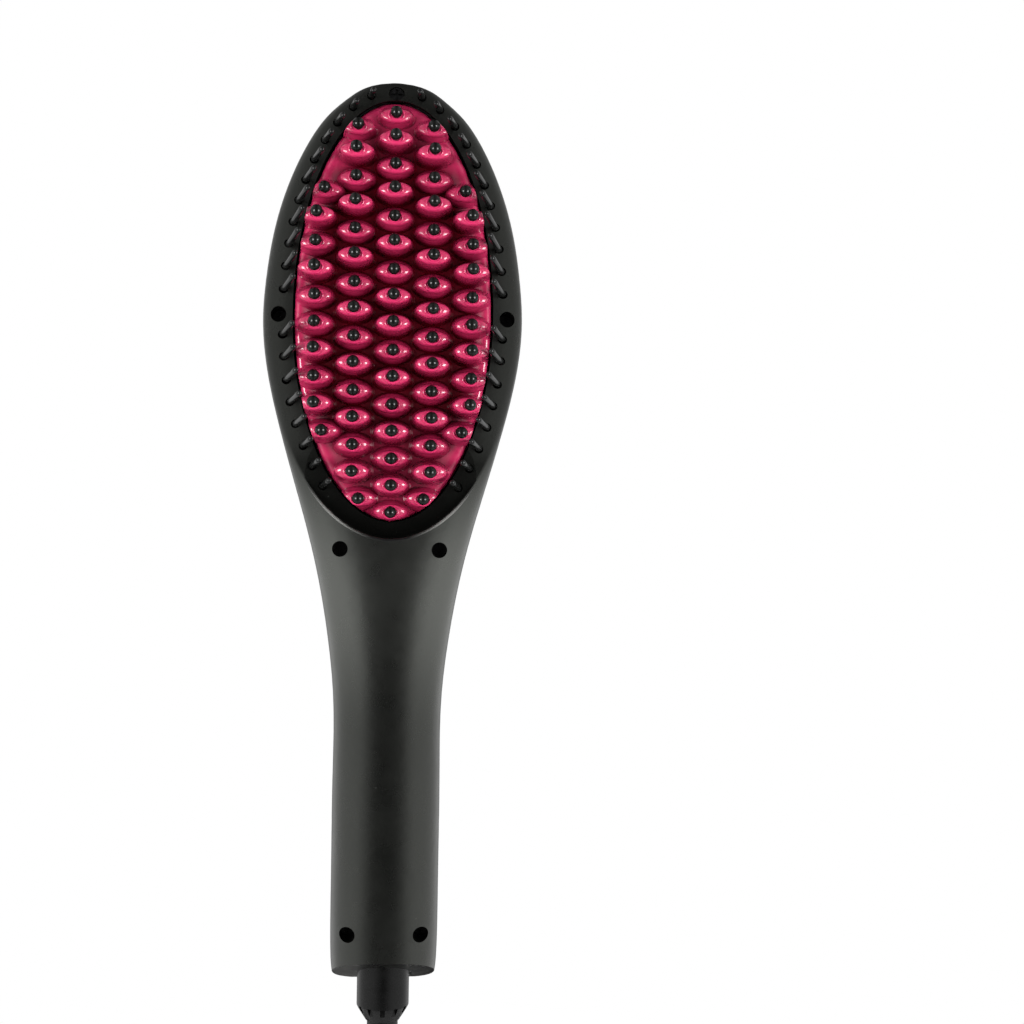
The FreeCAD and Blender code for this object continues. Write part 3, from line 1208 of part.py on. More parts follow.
def sensor_leads():
    """Two thin wires from the thermistor down the clamp's back to the board's upper edge."""
    wires = []
    depth = SENSOR_WIRE_DIAMETER
    downs = [THERMISTOR_DOWN + SENSOR_LEAD_STEP * step for step in range(3)]
    board_middle = BOARD_OUT - BOARD_THICKNESS / 2
    for side in (-1, 1):
        near = side * THERMISTOR_DIAMETER / 4
        far = side * SENSOR_LEAD_OUT
        start_out = arch(THERMISTOR_DOWN, CLAMP_UNDER) - THERMISTOR_RISE - depth
        points = [at(near, downs[0], start_out), at((near + far) / 2, downs[1], start_out - depth),
                  at(far, downs[2], arch(downs[2], CLAMP_UNDER) - 2 * depth),
                  at(far, BOARD_TOP_DOWN - WIRE_END_RUN, board_middle),
                  at(far, BOARD_TOP_DOWN - SEAT_GAP, board_middle)]
        wires.append(wire_between(points, SENSOR_WIRE_DIAMETER))
    return Part.makeCompound(wires)


def mains_leads():
    """Two wires from the contact holder to the capacitor, on the front of the board."""
    lie = BOARD_OUT + WIRE_DIAMETER / 2 + SEAT_GAP
    end = CAPACITOR_DOWN + CAPACITOR_LENGTH / 2 + SEAT_GAP
    return Part.makeCompound([wire_between([at(x, HOLDER_HIGH_DOWN - SEAT_GAP, lie), at(x, end, lie)],
                                           WIRE_DIAMETER) for x in (-MAINS_LEAD_OUT, MAINS_LEAD_OUT)])


CORD_PATH, CORD_RADII = rounded_path(cord_route())
COIL_PATH = coil_path()


def make_nodes():
    """Every node's name and the shape that goes with it."""
    return {
        "front_casing": casing_front(),
        "rear_casing": casing_rear(),
        "heating_plate": heating_plate(),
        "tooth_tips": tooth_tips(),
        "rim_bristles": rim_bristles(),
        "plate_gasket": plate_gasket(),
        "heating_film": heating_film(),
        "insulation_sheet": insulation_sheet(),
        "heater_clamp": heater_clamp(),
        "clamp_screws": clamp_screws(),
        "thermistor": thermistor(),
        "thermal_fuse": thermal_fuse(),
        "heater_leads": heater_leads(),
        "sensor_leads": sensor_leads(),
        "mains_leads": mains_leads(),
        "rim_screws": casing_screws("rim_screws"),
        "neck_screws": casing_screws("neck_screws"),
        "handle_screws": casing_screws("handle_screws"),
        "control_board": control_board(),
        "board_screws": board_screws(),
        "controller_chip": on_board(CHIP_DOWN, CHIP_SIDE, CHIP_SIDE, CHIP_HEIGHT),
        "triac": on_board(TRIAC_DOWN, TRIAC_WIDTH, TRIAC_LENGTH, TRIAC_HEIGHT),
        "capacitor": on_board(CAPACITOR_DOWN, CAPACITOR_WIDTH, CAPACITOR_LENGTH, CAPACITOR_HEIGHT),
        "control_panel": control_panel(),
        "display_window": display_window(),
        "display_glass": display_glass(),
        "display_backlight": display_backlight(),
        "display_holder": display_holder(),
        "switch_bodies": switch_bodies(),
        "plus_button": plus_button(),
        "minus_button": minus_button(),
        "power_button": power_button(),
        "plus_switch_stem": switch_stem("plus_button"),
        "minus_switch_stem": switch_stem("minus_button"),
        "power_switch_stem": switch_stem("power_button"),
        "swivel_barrel": swivel_barrel(),
        "slip_rings": slip_rings(),
        "slip_contacts": slip_contacts(),
        "contact_holder": contact_holder(),
        "strain_relief": strain_relief(),
        "power_cord": tube(CORD_PATH, CORD_DIAMETER),
        "cord_coil": tube(COIL_PATH, CORD_DIAMETER),
        "cord_tie": cord_tie(),
        "plug_body": plug_body(),
        "plug_pins": plug_pins(),
    }


os.makedirs("parts", exist_ok=True)
for node, shape in make_nodes().items():
    shape.exportStep(f"parts/{node}.step")
    print(node, len(shape.Solids), shape.isValid(), round(shape.Volume, 1))
print("cord radii", [round(radius, 1) for radius in CORD_RADII])
print("cord tube", round(CORD_PATH.Length, 1), "mm, coil", round(COIL_PATH.Length, 1), "mm")
print("least coil gap", round(least_coil_gap(COIL_PATH), 2))
print("floor", round(FLOOR_Z, 2))
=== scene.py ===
"""Hair straightening brush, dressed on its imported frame.

The scene is in metres: +X right of the toothed side, +Y the back with the controls, +Z the head's
tip. The numbers below are in millimetres and degrees, unless they say otherwise. A place on the
brush is also given as (x, down, out): down is the distance from the head's tip, out is the
distance in front of the parting plane between the two casings.
"""
import math

import bpy
import numpy as np
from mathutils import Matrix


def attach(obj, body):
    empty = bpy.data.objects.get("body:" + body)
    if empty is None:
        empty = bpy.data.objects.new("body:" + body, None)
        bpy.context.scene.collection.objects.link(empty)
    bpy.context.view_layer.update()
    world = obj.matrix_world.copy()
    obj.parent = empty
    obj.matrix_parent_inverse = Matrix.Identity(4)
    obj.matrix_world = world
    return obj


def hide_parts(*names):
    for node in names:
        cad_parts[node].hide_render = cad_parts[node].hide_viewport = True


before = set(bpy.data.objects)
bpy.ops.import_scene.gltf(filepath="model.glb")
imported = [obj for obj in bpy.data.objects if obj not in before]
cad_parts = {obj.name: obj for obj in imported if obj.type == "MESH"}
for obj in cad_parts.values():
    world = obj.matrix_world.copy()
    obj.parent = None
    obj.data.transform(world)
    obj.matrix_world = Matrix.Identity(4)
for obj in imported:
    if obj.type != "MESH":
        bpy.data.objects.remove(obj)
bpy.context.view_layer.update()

MM = 0.001
TIP_Z = 190.0

# Heating plate: an egg outline on an arch about X, with a round and swelling edge. Its rings are
# shares of the outline: over the back, round the edge and over the face.
ARCH_RADIUS = 255.0
ARCH_DOWN = 68.0
RIM_HEIGHT = 13.0
PLATE_SINK = 1.5
PLATE_UNDER = 5.4
PLATE_WALL_TOP = 3.4
PLATE_HALF_WIDTH = 26.2
PLATE_TOP = 6.4
PLATE_WIDEST = 65.2
PLATE_BOTTOM = 119.5
PLATE_POINTS = 180
BACK_SHARES = (0.02, 0.5, 0.985, 1.0, 1.0)
EDGE_SHARES = np.linspace(1, 0.90, 14)
FACE_SHARES = np.linspace(0.88, 0.02, 44)
EDGE_RADIUS = 1.3
SWELL_HEIGHT = 0.9
SWELL_INSIDE = 1.6
SWELL_SPREAD = 2.2

# Share of the coating's full colour between the teeth, where one is a crest's; less is painted
# shade in the valleys, more is painted light: along the brush, and up to the edge
VALLEY_DOWNS = (8.0, 30.0, 82.0, 112.0)
VALLEY_LIGHT_SHARES = (0.50, 0.14, 0.16, 0.48)
EDGE_LIGHT_SHARE = 0.85
EDGE_LIGHT_INSIDE = 1.0
EDGE_LIGHT_REACH = 8.0
EDGE_LIGHT_POWER = 1.5
# Painted shade at the plate's lower end: the edge's painted light falls to these shares
EDGE_FADE_DOWNS = (106.0, 119.0)
EDGE_FADE = (1.0, 0.4)

# Teeth: five columns of ovals, tall and short by turns, with a beaded collar round each tip
TOOTH_PITCH = 7.09
TOOTH_FIRST = 10.9
COLUMN_PITCH = 10.3
TEETH_IN_COLUMN = (16, 15, 10)
TALL_TOOTH = 7.8
SHORT_TOOTH = 4.5
TOOTH_ROOT = 0.8
TOOTH_FOOT = (5.1, 3.3)
TOOTH_FLARE = (0.55, 0.40)
FLARE_RISE = 1.3
TOOTH_CREST = (4.4, 2.15)
CREST_RISE = 1.5
CREST_POWER = 0.62
FLARE_RINGS = 5
WALL_RINGS = 4
CREST_RINGS = 7
TOOTH_POINTS = 36
TOOTH_EDGE_GAP = 0.5
LEAST_TOOTH_REACH = 2.7
COLLAR_REACH = (2.0, 1.7)
COLLAR_BEAD = 0.34
COLLAR_ROOT = 0.5
COLLAR_ARC = np.radians(np.linspace(-30, 210, 9))
COLLAR_POINTS = 24

# Rim bristles: pins out of the leaning holes of the rim
BRISTLE_SLOTS = 20
BRISTLE_SCREW_SLOT = 11
BRISTLE_OFFSET = 3.9
BRISTLE_ANGLES = np.radians(np.linspace(13.5, 142.0, 401))
BRISTLE_FOOT = 4.2
BRISTLE_HEIGHT = 9.0
BRISTLE_RADII = (0.90, 0.80)
BRISTLE_HOLE_LEAN = 16.0
BRISTLE_LEAN_IN = 0.135
BRISTLE_LEAN_DOWNS = (4.0, 42.0)
BRISTLE_LEAN_UP = (-1.3, 1.9)
BRISTLE_RINGS = 5
BRISTLE_TIP_RINGS = 3
BRISTLE_POINTS = 14

# Well round the plate's lower end: an ellipse whose lip follows the neck's swell
WELL_HALF_WIDTH = 33.6
WELL_HALF_LENGTH = 59.6
WELL_CENTRE_DOWN = 64.8
LIP_REACH = 42.0
LIP_TOP_OUT = 13.36
LIP_FALL = 0.00216
LIP_FALL_POWER = 2.371
LIP_RADIUS = 0.42
LIP_END_POWER = 6
LIP_END_LEFT = 0.001
# Painted highlight on the lip's flanks: its peak and spread, as shares of the way to an end
LIP_HIGHLIGHT_PLACE = 0.62
LIP_HIGHLIGHT_SPREAD = 0.30
LIP_SINK = 0.32
LIP_RINGS = 90
LIP_POINTS = 12

# Panel's edge: half width, level and bow of both its ends, and how far out it lies, by the distance
# across along the ends and by the distance down along the sides
PANEL_TOP = (14.8, 145.6, -3.2)
PANEL_LOW = (12.5, 205.8, 4.2)
TOP_EDGE_OUT = ((0.0, 4.5, 7.7, 10.6, 12.8, 14.8), (-10.15, -10.03, -9.68, -8.96, -8.02, -6.61))
SIDE_EDGE_OUT = ((145.6, 151.7, 158.5, 164.2, 168.3, 174.3, 179.4, 186.5, 195.1, 205.8),
                 (-6.61, -6.04, -5.44, -5.06, -4.97, -5.26, -5.81, -6.75, -7.78, -8.79))
LOW_EDGE_OUT = ((0.0, 3.7, 6.8, 8.4, 9.7, 10.9, 12.0, 12.5),
                (-14.0, -13.81, -13.07, -12.42, -11.63, -10.64, -9.50, -8.79))
PANEL_END_STEPS = 60
PANEL_SIDE_STEPS = 120
SEAM_RADIUS = 0.32
SEAM_ROUNDING = 3
SEAM_POINTS = 8

# Display. A figure's strokes have their usual letters; a stroke's middle is given in half widths
# across and quarter heights down from the figure's, with whether it stands upright.
DISPLAY_DOWN = 155.5
GLASS_OUT = -7.55
GLASS_SIZE = (19.0, 11.0)
LIT_SIZE = (17.6, 8.0)
LIT_DOWN = 154.9
BORDER_LIFT = 0.015
FIGURE_LIFT = 0.02
DIGIT_SIZE = (2.7, 5.5)
DIGIT_PITCH = 4.4
DIGIT_STROKE = 0.85
DIGIT_GAP = 0.12
DIGIT_SLANT = 0.10
STROKES = {"a": (0, -2, False), "b": (1, -1, True), "c": (1, 1, True), "d": (0, 2, False),
           "e": (-1, 1, True), "f": (-1, -1, True), "g": (0, 0, False)}
FIGURES = ("fbgc", "afgcd", "afbecd")

# Marks on the keys: a plus, a minus, and an open ring with a stroke
PLUS_DOWN = 171.05
MINUS_DOWN = 182.95
POWER_DOWN = 198.0
PAIR_MARK_OUT = -11.1
POWER_MARK_OUT = -12.5
MARK_LIFT = 0.012
MARK_LENGTH = 4.6
MARK_WIDTH = 0.9
RING_RADIUS = 2.2
RING_OPENING = 1.1
RING_POINTS = 33

# Cord, as wound for storage behind the brush; its length is in metres
CORD_WIDTH = 6.2
CORD_EXIT = -92.65
LEAD_RUN = 24.0
COIL_RADIUS = 48.6
COIL_PITCH = 6.8
COIL_HALF_TURNS = 7
POINTS_PER_HALF_TURN = 9
TOP_TURN_RADIUS = 26.0
TOP_TURN_POINTS = 5
TAIL_LENGTH = 6.2
PLUG_LEVEL = 17.2

# Casing's gloss by its height: half on the handle, full where the neck is rubbed, little on the
# head. The well's floor is matt: it lies within a share of the well's ellipse, a place along Y and
# a height. A great scale along Y leaves that axis out of the ellipse.
GRIP_HEIGHTS = (12.0, 52.0)
GRIP_GLOSS = (0.45, 1.0)
NECK_HEIGHTS = (55.0, 100.0)
NECK_GLOSS = (0.95, 0.15)
# Share of a paler tone laid over the head, growing with height
HEAD_PALING = 0.6
WELL_GLOSS = 0.03
WELL_EDGE = (1.01, 0.99)
WELL_FRONT = (-3.0, -4.0)
WELL_HEIGHTS = (98.0, 86.0)
WELL_Y_SCALE = 1e6

# Plate's coating: cloudiness of its painted light share, and the shares over which the clear top
# comes in
COATING_CLOUDS = (-0.08, 0.08)
CLEAR_LIGHT_SHARES = (0.18, 0.48)
CLEAR_WEIGHT = 0.75

# Camera, floor and surroundings; the floor's reach and fade are in metres
CAMERA_DISTANCE = 430.0
CAMERA_HALF_VIEW = 140.5
CAMERA_HEIGHT = 73.3
CAMERA_ROLL = -0.9
CAMERA_TURN = -4.44
FLOOR_Z = -137.97
FLOOR_REACH = 3.0
FLOOR_FADE = (0.13, 0.28)
FLOOR_PAINT = (0.80, 0.80, 0.80, 1)
WHITE = (1, 1, 1, 1)
SOFT_LIGHT = 0.07
CARD_SPAN = (0.0, 0.72)
CARD_GLOW = (0.02, 1.0)

# Soft boxes in metres and watts: name, place, aim, size, power
ROOM_BOXES = (
    ("left_box", (-0.95, -0.58, 0.08), (0, 0, 0.04), 1.1, 14),
    ("right_box", (0.95, -0.58, 0.08), (0, 0, 0.04), 1.1, 12),
    ("top_box", (0.0, -0.45, 1.25), (0, 0, 0.05), 0.6, 5),
    ("left_back_box", (-0.95, 0.75, 0.5), (0, 0, 0.05), 0.6, 14),
    ("right_back_box", (0.95, 0.75, 0.5), (0, 0, 0.05), 0.6, 14),
)
GLINT_BOXES = (
    ("left_glint", (-0.55, -0.55, 0.02), (0, 0, 0.12), 0.34, 8),
    ("right_glint", (0.55, -0.55, 0.02), (0, 0, 0.12), 0.34, 8),
)


# Nodes


def feed(node, *values, **sockets):
    """Feeds a node's first sockets in order and others by name.

    A node value is linked to its socket, and a constant is set on it.
    """
    named = [(node.inputs[name.replace("_", " ")], value) for name, value in sockets.items()]
    for socket, value in [*zip(node.inputs, values), *named]:
        if isinstance(value, bpy.types.NodeSocket):
            node.id_data.links.new(value, socket)
        else:
            socket.default_value = value
    return node


def add_node(tree, kind, *values, **sockets):
    """New shader node of a kind, with its sockets fed."""
    return feed(tree.nodes.new("ShaderNode" + kind), *values, **sockets)


def span(tree, value, source, target=(0.0, 1.0), smooth=False):
    """Node value that crosses one range as another value crosses its own, and stops at the ends."""
    (start, stop), (low, high) = source, target
    node = add_node(tree, "MapRange", Value=value, From_Min=start, From_Max=stop,
                    To_Min=low, To_Max=high)
    node.interpolation_type = "SMOOTHSTEP" if smooth else "LINEAR"
    return node.outputs["Result"]


def combine(tree, operation, first, *others):
    """One node value from several, taken two at a time."""
    for other in others:
        node = add_node(tree, "Math", first, other)
        node.operation = operation
        first = node.outputs[0]
    return first


def vector_math(tree, operation, vector):
    """Vector node that works on one vector."""
    node = add_node(tree, "VectorMath", vector)
    node.operation = operation
    return node


def object_place(tree):
    """Object coordinates."""
    return add_node(tree, "TexCoord").outputs["Object"]


def point_value(tree, name):
    """Value that a mesh carries on its points."""
    node = add_node(tree, "Attribute")
    node.attribute_name = name
    return node.outputs["Fac"]


def metres(lengths):
    """The same lengths in metres."""
    return [length * MM for length in lengths]


# Finishes. A colour is linear red, green and blue; a pattern's size is in lumps for each
# millimetre; a relief's depth is in millimetres.
NOISE_RANGE = (0.3, 0.7)


def shader_of(material):
    """Principled shader of a material."""
    return material.node_tree.nodes["Principled BSDF"]


def surface(name, **sockets):
    """Principled material with the sockets that are the same all over it."""
    material = bpy.data.materials.new(name)
    material.use_nodes = True
    feed(shader_of(material), **sockets)
    return material


def lumps(material, size, detail=2.0, stretch=(1, 1, 1), warp=0.0):
    """Noise on Object coordinates, stretched along the axes by the given factors."""
    tree = material.node_tree
    scale = add_node(tree, "Mapping", Vector=object_place(tree),
                     Scale=[size / MM * part for part in stretch])
    noise = add_node(tree, "TexNoise", Vector=scale.outputs["Vector"], Scale=1.0, Detail=detail,
                     Distortion=warp)
    return noise.outputs["Fac"]


def cells(material, size):
    """Cells on Object coordinates."""
    tree = material.node_tree
    return add_node(tree, "TexVoronoi", Vector=object_place(tree), Scale=size / MM)


def flecks(material, size, reach):
    """Rounded specks: one round each cell's middle, out to a share of the cell."""
    return span(material.node_tree, cells(material, size).outputs["Distance"], (reach, 0.0))


def tint(material, pattern, low, high, start=0.35, stop=0.65):
    """Base colour running from one tone to another along a pattern."""
    ramp = add_node(material.node_tree, "ValToRGB", Fac=pattern)
    for element, place, tone in zip(ramp.color_ramp.elements, (start, stop), (low, high)):
        element.position = place
        element.color = (*tone, 1)
    feed(shader_of(material), Base_Color=ramp.outputs["Color"])


def fleck_tint(material, pattern, colour):
    """Lays flecks of one colour over the base colour made so far."""
    shader = shader_of(material)
    mix = add_node(material.node_tree, "Mix")
    mix.data_type = "RGBA"
    feed(mix, Factor=pattern, A=shader.inputs["Base Color"].links[0].from_socket, B=(*colour, 1))
    feed(shader, Base_Color=mix.outputs["Result"])


def roughen(material, pattern, low, high):
    """Roughness between two values along a pattern."""
    rough = span(material.node_tree, pattern, NOISE_RANGE, (low, high))
    feed(shader_of(material), Roughness=rough)


def emboss(material, pattern, depth, strength=1.0):
    """Bump of a depth, laid over any bump made before it."""
    shader = shader_of(material)
    bump = add_node(material.node_tree, "Bump", Height=pattern, Distance=depth * MM,
                    Strength=strength)
    for before in shader.inputs["Normal"].links:
        feed(bump, Normal=before.from_socket)
    feed(shader, Normal=bump.outputs["Normal"])


def moulded(name, low, high, gloss, cloud, grain, depth, **sockets):
    """Moulded or drawn material: clouded tone and gloss, with a fine grain."""
    material = surface(name, **sockets)
    clouds = lumps(material, cloud, detail=3.0)
    tint(material, clouds, low, high)
    roughen(material, clouds, *gloss)
    emboss(material, lumps(material, grain), depth)
    return material


def well_floor(tree, place):
    """One over the well's floor and nothing elsewhere: inside the well's ellipse, on the toothed
    side, coming in towards the well's lower half."""
    centred = add_node(tree, "Mapping", Vector=place)
    centred.vector_type = "TEXTURE"
    feed(centred, Location=(0, 0, (TIP_Z - WELL_CENTRE_DOWN) * MM),
         Scale=(WELL_HALF_WIDTH * MM, WELL_Y_SCALE, WELL_HALF_LENGTH * MM))
    far = vector_math(tree, "LENGTH", centred.outputs["Vector"])
    split = add_node(tree, "SeparateXYZ", place)
    return combine(tree, "MULTIPLY", span(tree, far.outputs["Value"], WELL_EDGE),
                   span(tree, split.outputs["Y"], metres(WELL_FRONT)),
                   span(tree, split.outputs["Z"], metres(WELL_HEIGHTS)))


def soft_touch():
    """Soft rubbery paint: even fine grain, broad smudges, a few pale dust flecks, matt over the
    head and rubbed glossier by the hand over the neck and handle."""
    material = surface("soft_black", Specular_Tint=(0.97, 1.0, 0.93, 1), IOR=1.72)
    tree = material.node_tree
    place = object_place(tree)
    height = add_node(tree, "SeparateXYZ", place).outputs["Z"]
    neck = span(tree, height, metres(NECK_HEIGHTS), NECK_GLOSS, smooth=True)
    grip = span(tree, height, metres(GRIP_HEIGHTS), GRIP_GLOSS, smooth=True)
    gloss = add_node(tree, "Mix", Factor=well_floor(tree, place),
                     A=combine(tree, "MULTIPLY", neck, grip), B=WELL_GLOSS)
    feed(shader_of(material), Specular_IOR_Level=gloss.outputs["Result"])
    tint(material, lumps(material, size=0.045, detail=4.0, warp=0.6),
         low=(0.0032, 0.0034, 0.0030), high=(0.0047, 0.0050, 0.0044))
    # Paler over the head than on the neck and handle, by height
    head_paling = span(tree, height, metres(NECK_HEIGHTS), (0.0, HEAD_PALING), smooth=True)
    fleck_tint(material, head_paling, colour=(0.0125, 0.0130, 0.0118))
    fleck_tint(material, flecks(material, size=0.16, reach=0.035), colour=(0.075, 0.076, 0.072))
    roughen(material, lumps(material, size=0.12, detail=5.0), low=0.25, high=0.33)
    emboss(material, lumps(material, size=2.6), depth=0.012, strength=0.6)
    return material


def baked_coating():
    """Crimson gloss baked on the plate, cloudy, with a fine orange-peel skin and a thin clear top
    that fades in the valleys. Its colour holds painted shade: dark in the valleys, full on the
    crests."""
    material = surface("plate_coating", Coat_Roughness=0.10, Specular_IOR_Level=0.15)
    tree = material.node_tree
    rise = point_value(tree, "rise")
    clouds = span(tree, lumps(material, size=0.12, detail=4.0), (0.0, 1.0), COATING_CLOUDS)
    feed(shader_of(material), Coat_Weight=span(tree, rise, CLEAR_LIGHT_SHARES, (0.0, CLEAR_WEIGHT)))
    # Painted shade: the dark tone fills the valleys and the teeth's lower walls, the full crimson
    # the crests; painted light brightens the plate's edge and ends
    tint(material, combine(tree, "ADD", rise, clouds), low=(0.045, 0.0002, 0.003),
         high=(0.36, 0.017, 0.070), start=0.24, stop=1.0)
    roughen(material, lumps(material, size=0.4, detail=4.0), low=0.22, high=0.34)
    emboss(material, lumps(material, size=0.9), depth=0.012, strength=0.4)
    return material


def lit_display():
    """Blue backlit display: an even glow over a slightly clouded blue."""
    material = surface("display_blue", Emission_Color=(0.03, 0.115, 0.80, 1),
                       Emission_Strength=0.55, Roughness=0.2)
    tint(material, lumps(material, size=0.05, detail=1.0), low=(0.022, 0.085, 0.62),
         high=(0.045, 0.155, 0.86))
    emboss(material, lumps(material, size=4.0), depth=0.002)
    return material


def clear_window():
    """Clear moulded window, slightly uneven in tone and gloss."""
    material = surface("window_clear", Transmission_Weight=1.0, IOR=1.46)
    tint(material, lumps(material, size=0.05), low=(0.93, 0.95, 0.97), high=(0.98, 0.985, 0.99))
    roughen(material, lumps(material, size=0.3, detail=3.0), low=0.01, high=0.05)
    return material


def brushed(name, low, high, gloss):
    """Sheet metal brushed along the brush: fine streaks in tone, gloss and relief."""
    material = surface(name, Metallic=1.0)
    streaks = lumps(material, size=3.0, detail=3.0, stretch=(1, 1, 0.03))
    tint(material, streaks, low, high)
    roughen(material, streaks, *gloss)
    emboss(material, streaks, depth=0.004, strength=0.5)
    return material


def circuit_board():
    """Green lacquer over square runs of copper."""
    material = surface("board_green", Coat_Weight=0.3, Coat_Roughness=0.2)
    squares = cells(material, size=0.28)
    squares.distance = "CHEBYCHEV"
    squares.feature = "F2"
    runs = squares.outputs["Distance"]
    tint(material, runs, low=(0.006, 0.085, 0.026), high=(0.016, 0.165, 0.055), start=0.42,
         stop=0.5)
    roughen(material, lumps(material, size=0.5), low=0.3, high=0.45)
    emboss(material, runs, depth=0.03, strength=0.4)
    return material


def hook_tape():
    """Woven tie: a close nap of short loops."""
    material = surface("tie_black", Sheen_Weight=0.3, Sheen_Roughness=0.5)
    nap = flecks(material, size=1.6, reach=0.7)
    tint(material, nap, low=(0.006, 0.006, 0.0065), high=(0.022, 0.022, 0.023), start=0.1, stop=0.9)
    roughen(material, lumps(material, size=1.0), low=0.75, high=0.95)
    emboss(material, nap, depth=0.12)
    return material


def painted_highlight_edge():
    """Edge of the soft paint with a painted highlight: pale on its flanks and dark in its middle.
    """
    material = surface("painted_highlight_edge", Specular_IOR_Level=0.5)
    tint(material, point_value(material.node_tree, "wear"), low=(0.006, 0.006, 0.006),
         high=(0.21, 0.21, 0.20), start=0.15, stop=1.0)
    roughen(material, lumps(material, size=0.2, detail=3.0), low=0.28, high=0.40)
    emboss(material, lumps(material, size=2.6), depth=0.006)
    return material


DEEP_BLACK = (0.0026, 0.0027, 0.0026)
BLACK = (0.0052, 0.0053, 0.0052)
GREY_BLACK = (0.0090, 0.0092, 0.0089)
FINISHES = {
    "soft_black": soft_touch(),
    "plate_coating": baked_coating(),
    "display_blue": lit_display(),
    "window_clear": clear_window(),
    "board_green": circuit_board(),
    "tie_black": hook_tape(),
    "painted_highlight_edge": painted_highlight_edge(),
    "sheet_steel": brushed("sheet_steel", (0.42, 0.43, 0.44), (0.58, 0.59, 0.60), (0.28, 0.42)),
    "fuse_can": brushed("fuse_can", (0.55, 0.55, 0.54), (0.68, 0.68, 0.67), (0.2, 0.32)),
}
# Each row: darker and lighter tone, gloss range, cloud size, grain size, grain depth, fixed sockets
MOULDINGS = {
    "tip_black": ((0.0020, 0.0022, 0.0020), (0.0040, 0.0043, 0.0040), (0.10, 0.16), 0.5, 3.0, 0.003,
                  {"Specular_IOR_Level": 0.21}),
    "bristle_black": ((0.0035, 0.0036, 0.0035), (0.0062, 0.0064, 0.0062), (0.12, 0.19), 0.3, 3.0,
                      0.006, {"Specular_IOR_Level": 0.20}),
    "gasket": ((0.030, 0.030, 0.031), (0.045, 0.045, 0.046), (0.55, 0.7), 0.3, 2.0, 0.02, {}),
    "heater_film": ((0.33, 0.12, 0.014), (0.47, 0.20, 0.03), (0.2, 0.35), 0.2, 1.5, 0.01,
                    {"Coat_Weight": 0.5}),
    "insulation": ((0.50, 0.47, 0.40), (0.64, 0.61, 0.53), (0.8, 0.95), 0.6, 2.0, 0.08, {}),
    "steel_screw": ((0.45, 0.46, 0.47), (0.60, 0.60, 0.61), (0.25, 0.4), 0.8, 4.0, 0.004,
                    {"Metallic": 1.0}),
    "black_screw": ((0.0060, 0.0060, 0.0063), (0.0110, 0.0110, 0.0115), (0.26, 0.4), 0.8, 4.0,
                    0.006, {"Specular_IOR_Level": 0.3}),
    "sensor_bead": ((0.010, 0.011, 0.014), (0.022, 0.023, 0.028), (0.15, 0.3), 0.5, 2.0, 0.02, {}),
    "lead_red": ((0.42, 0.012, 0.012), (0.55, 0.022, 0.020), (0.35, 0.5), 0.1, 2.0, 0.006, {}),
    "lead_white": ((0.66, 0.66, 0.63), (0.78, 0.78, 0.75), (0.35, 0.5), 0.1, 2.0, 0.006, {}),
    "lead_brown": ((0.085, 0.030, 0.012), (0.13, 0.048, 0.02), (0.35, 0.5), 0.1, 2.0, 0.006, {}),
    "chip_black": ((0.010, 0.010, 0.011), (0.019, 0.019, 0.020), (0.5, 0.65), 0.3, 6.0, 0.006, {}),
    "capacitor_yellow": ((0.56, 0.34, 0.02), (0.68, 0.44, 0.04), (0.3, 0.45), 0.2, 1.0, 0.01, {}),
    "panel_gloss": ((0.0016, 0.0016, 0.0018), (0.0030, 0.0030, 0.0033), (0.05, 0.14), 0.06, 0.5,
                    0.004, {"Coat_Weight": 0.25, "Coat_Roughness": 0.05,
                            "Specular_IOR_Level": 0.28}),
    "backlight_white": ((0.78, 0.82, 0.88), (0.9, 0.92, 0.95), (0.4, 0.5), 0.1, 2.0, 0.006, {}),
    "digit_ink": ((0.004, 0.012, 0.085), (0.007, 0.018, 0.11), (0.5, 0.6), 0.2, 3.0, 0.002,
                  {"Specular_IOR_Level": 0.15}),
    "mask_black": ((0.002, 0.002, 0.0022), (0.004, 0.004, 0.0042), (0.5, 0.6), 0.2, 3.0, 0.002,
                   {"Specular_IOR_Level": 0.1}),
    "holder_black": (BLACK, GREY_BLACK, (0.45, 0.6), 0.2, 2.0, 0.01, {}),
    "switch_black": (BLACK, GREY_BLACK, (0.4, 0.55), 0.4, 4.0, 0.006, {}),
    "button_black": (BLACK, GREY_BLACK, (0.20, 0.32), 0.15, 2.4, 0.006, {}),
    "mark_grey": ((0.020, 0.020, 0.021), (0.032, 0.032, 0.033), (0.35, 0.5), 0.3, 3.0, 0.004, {}),
    "stem_grey": ((0.10, 0.10, 0.10), (0.16, 0.16, 0.16), (0.4, 0.55), 0.4, 4.0, 0.006, {}),
    "swivel_black": (DEEP_BLACK, BLACK, (0.22, 0.32), 0.2, 2.4, 0.008,
                     {"Specular_IOR_Level": 0.22}),
    "contact_brass": ((0.62, 0.40, 0.13), (0.76, 0.52, 0.20), (0.22, 0.38), 0.5, 3.0, 0.004,
                      {"Metallic": 1.0}),
    "relief_black": (DEEP_BLACK, BLACK, (0.42, 0.56), 0.15, 2.0, 0.012,
                     {"Specular_IOR_Level": 0.3}),
    "cord_black": (DEEP_BLACK, BLACK, (0.40, 0.55), 0.12, 2.0, 0.014, {"Specular_IOR_Level": 0.36}),
    "plug_black": (BLACK, GREY_BLACK, (0.66, 0.80), 0.12, 2.2, 0.012, {"Specular_IOR_Level": 0.25}),
    "pin_nickel": ((0.60, 0.58, 0.54), (0.72, 0.70, 0.66), (0.14, 0.28), 0.4, 3.0, 0.003,
                   {"Metallic": 1.0}),
}
for finish, (*look, sockets) in MOULDINGS.items():
    FINISHES[finish] = moulded(finish, *look, **sockets)


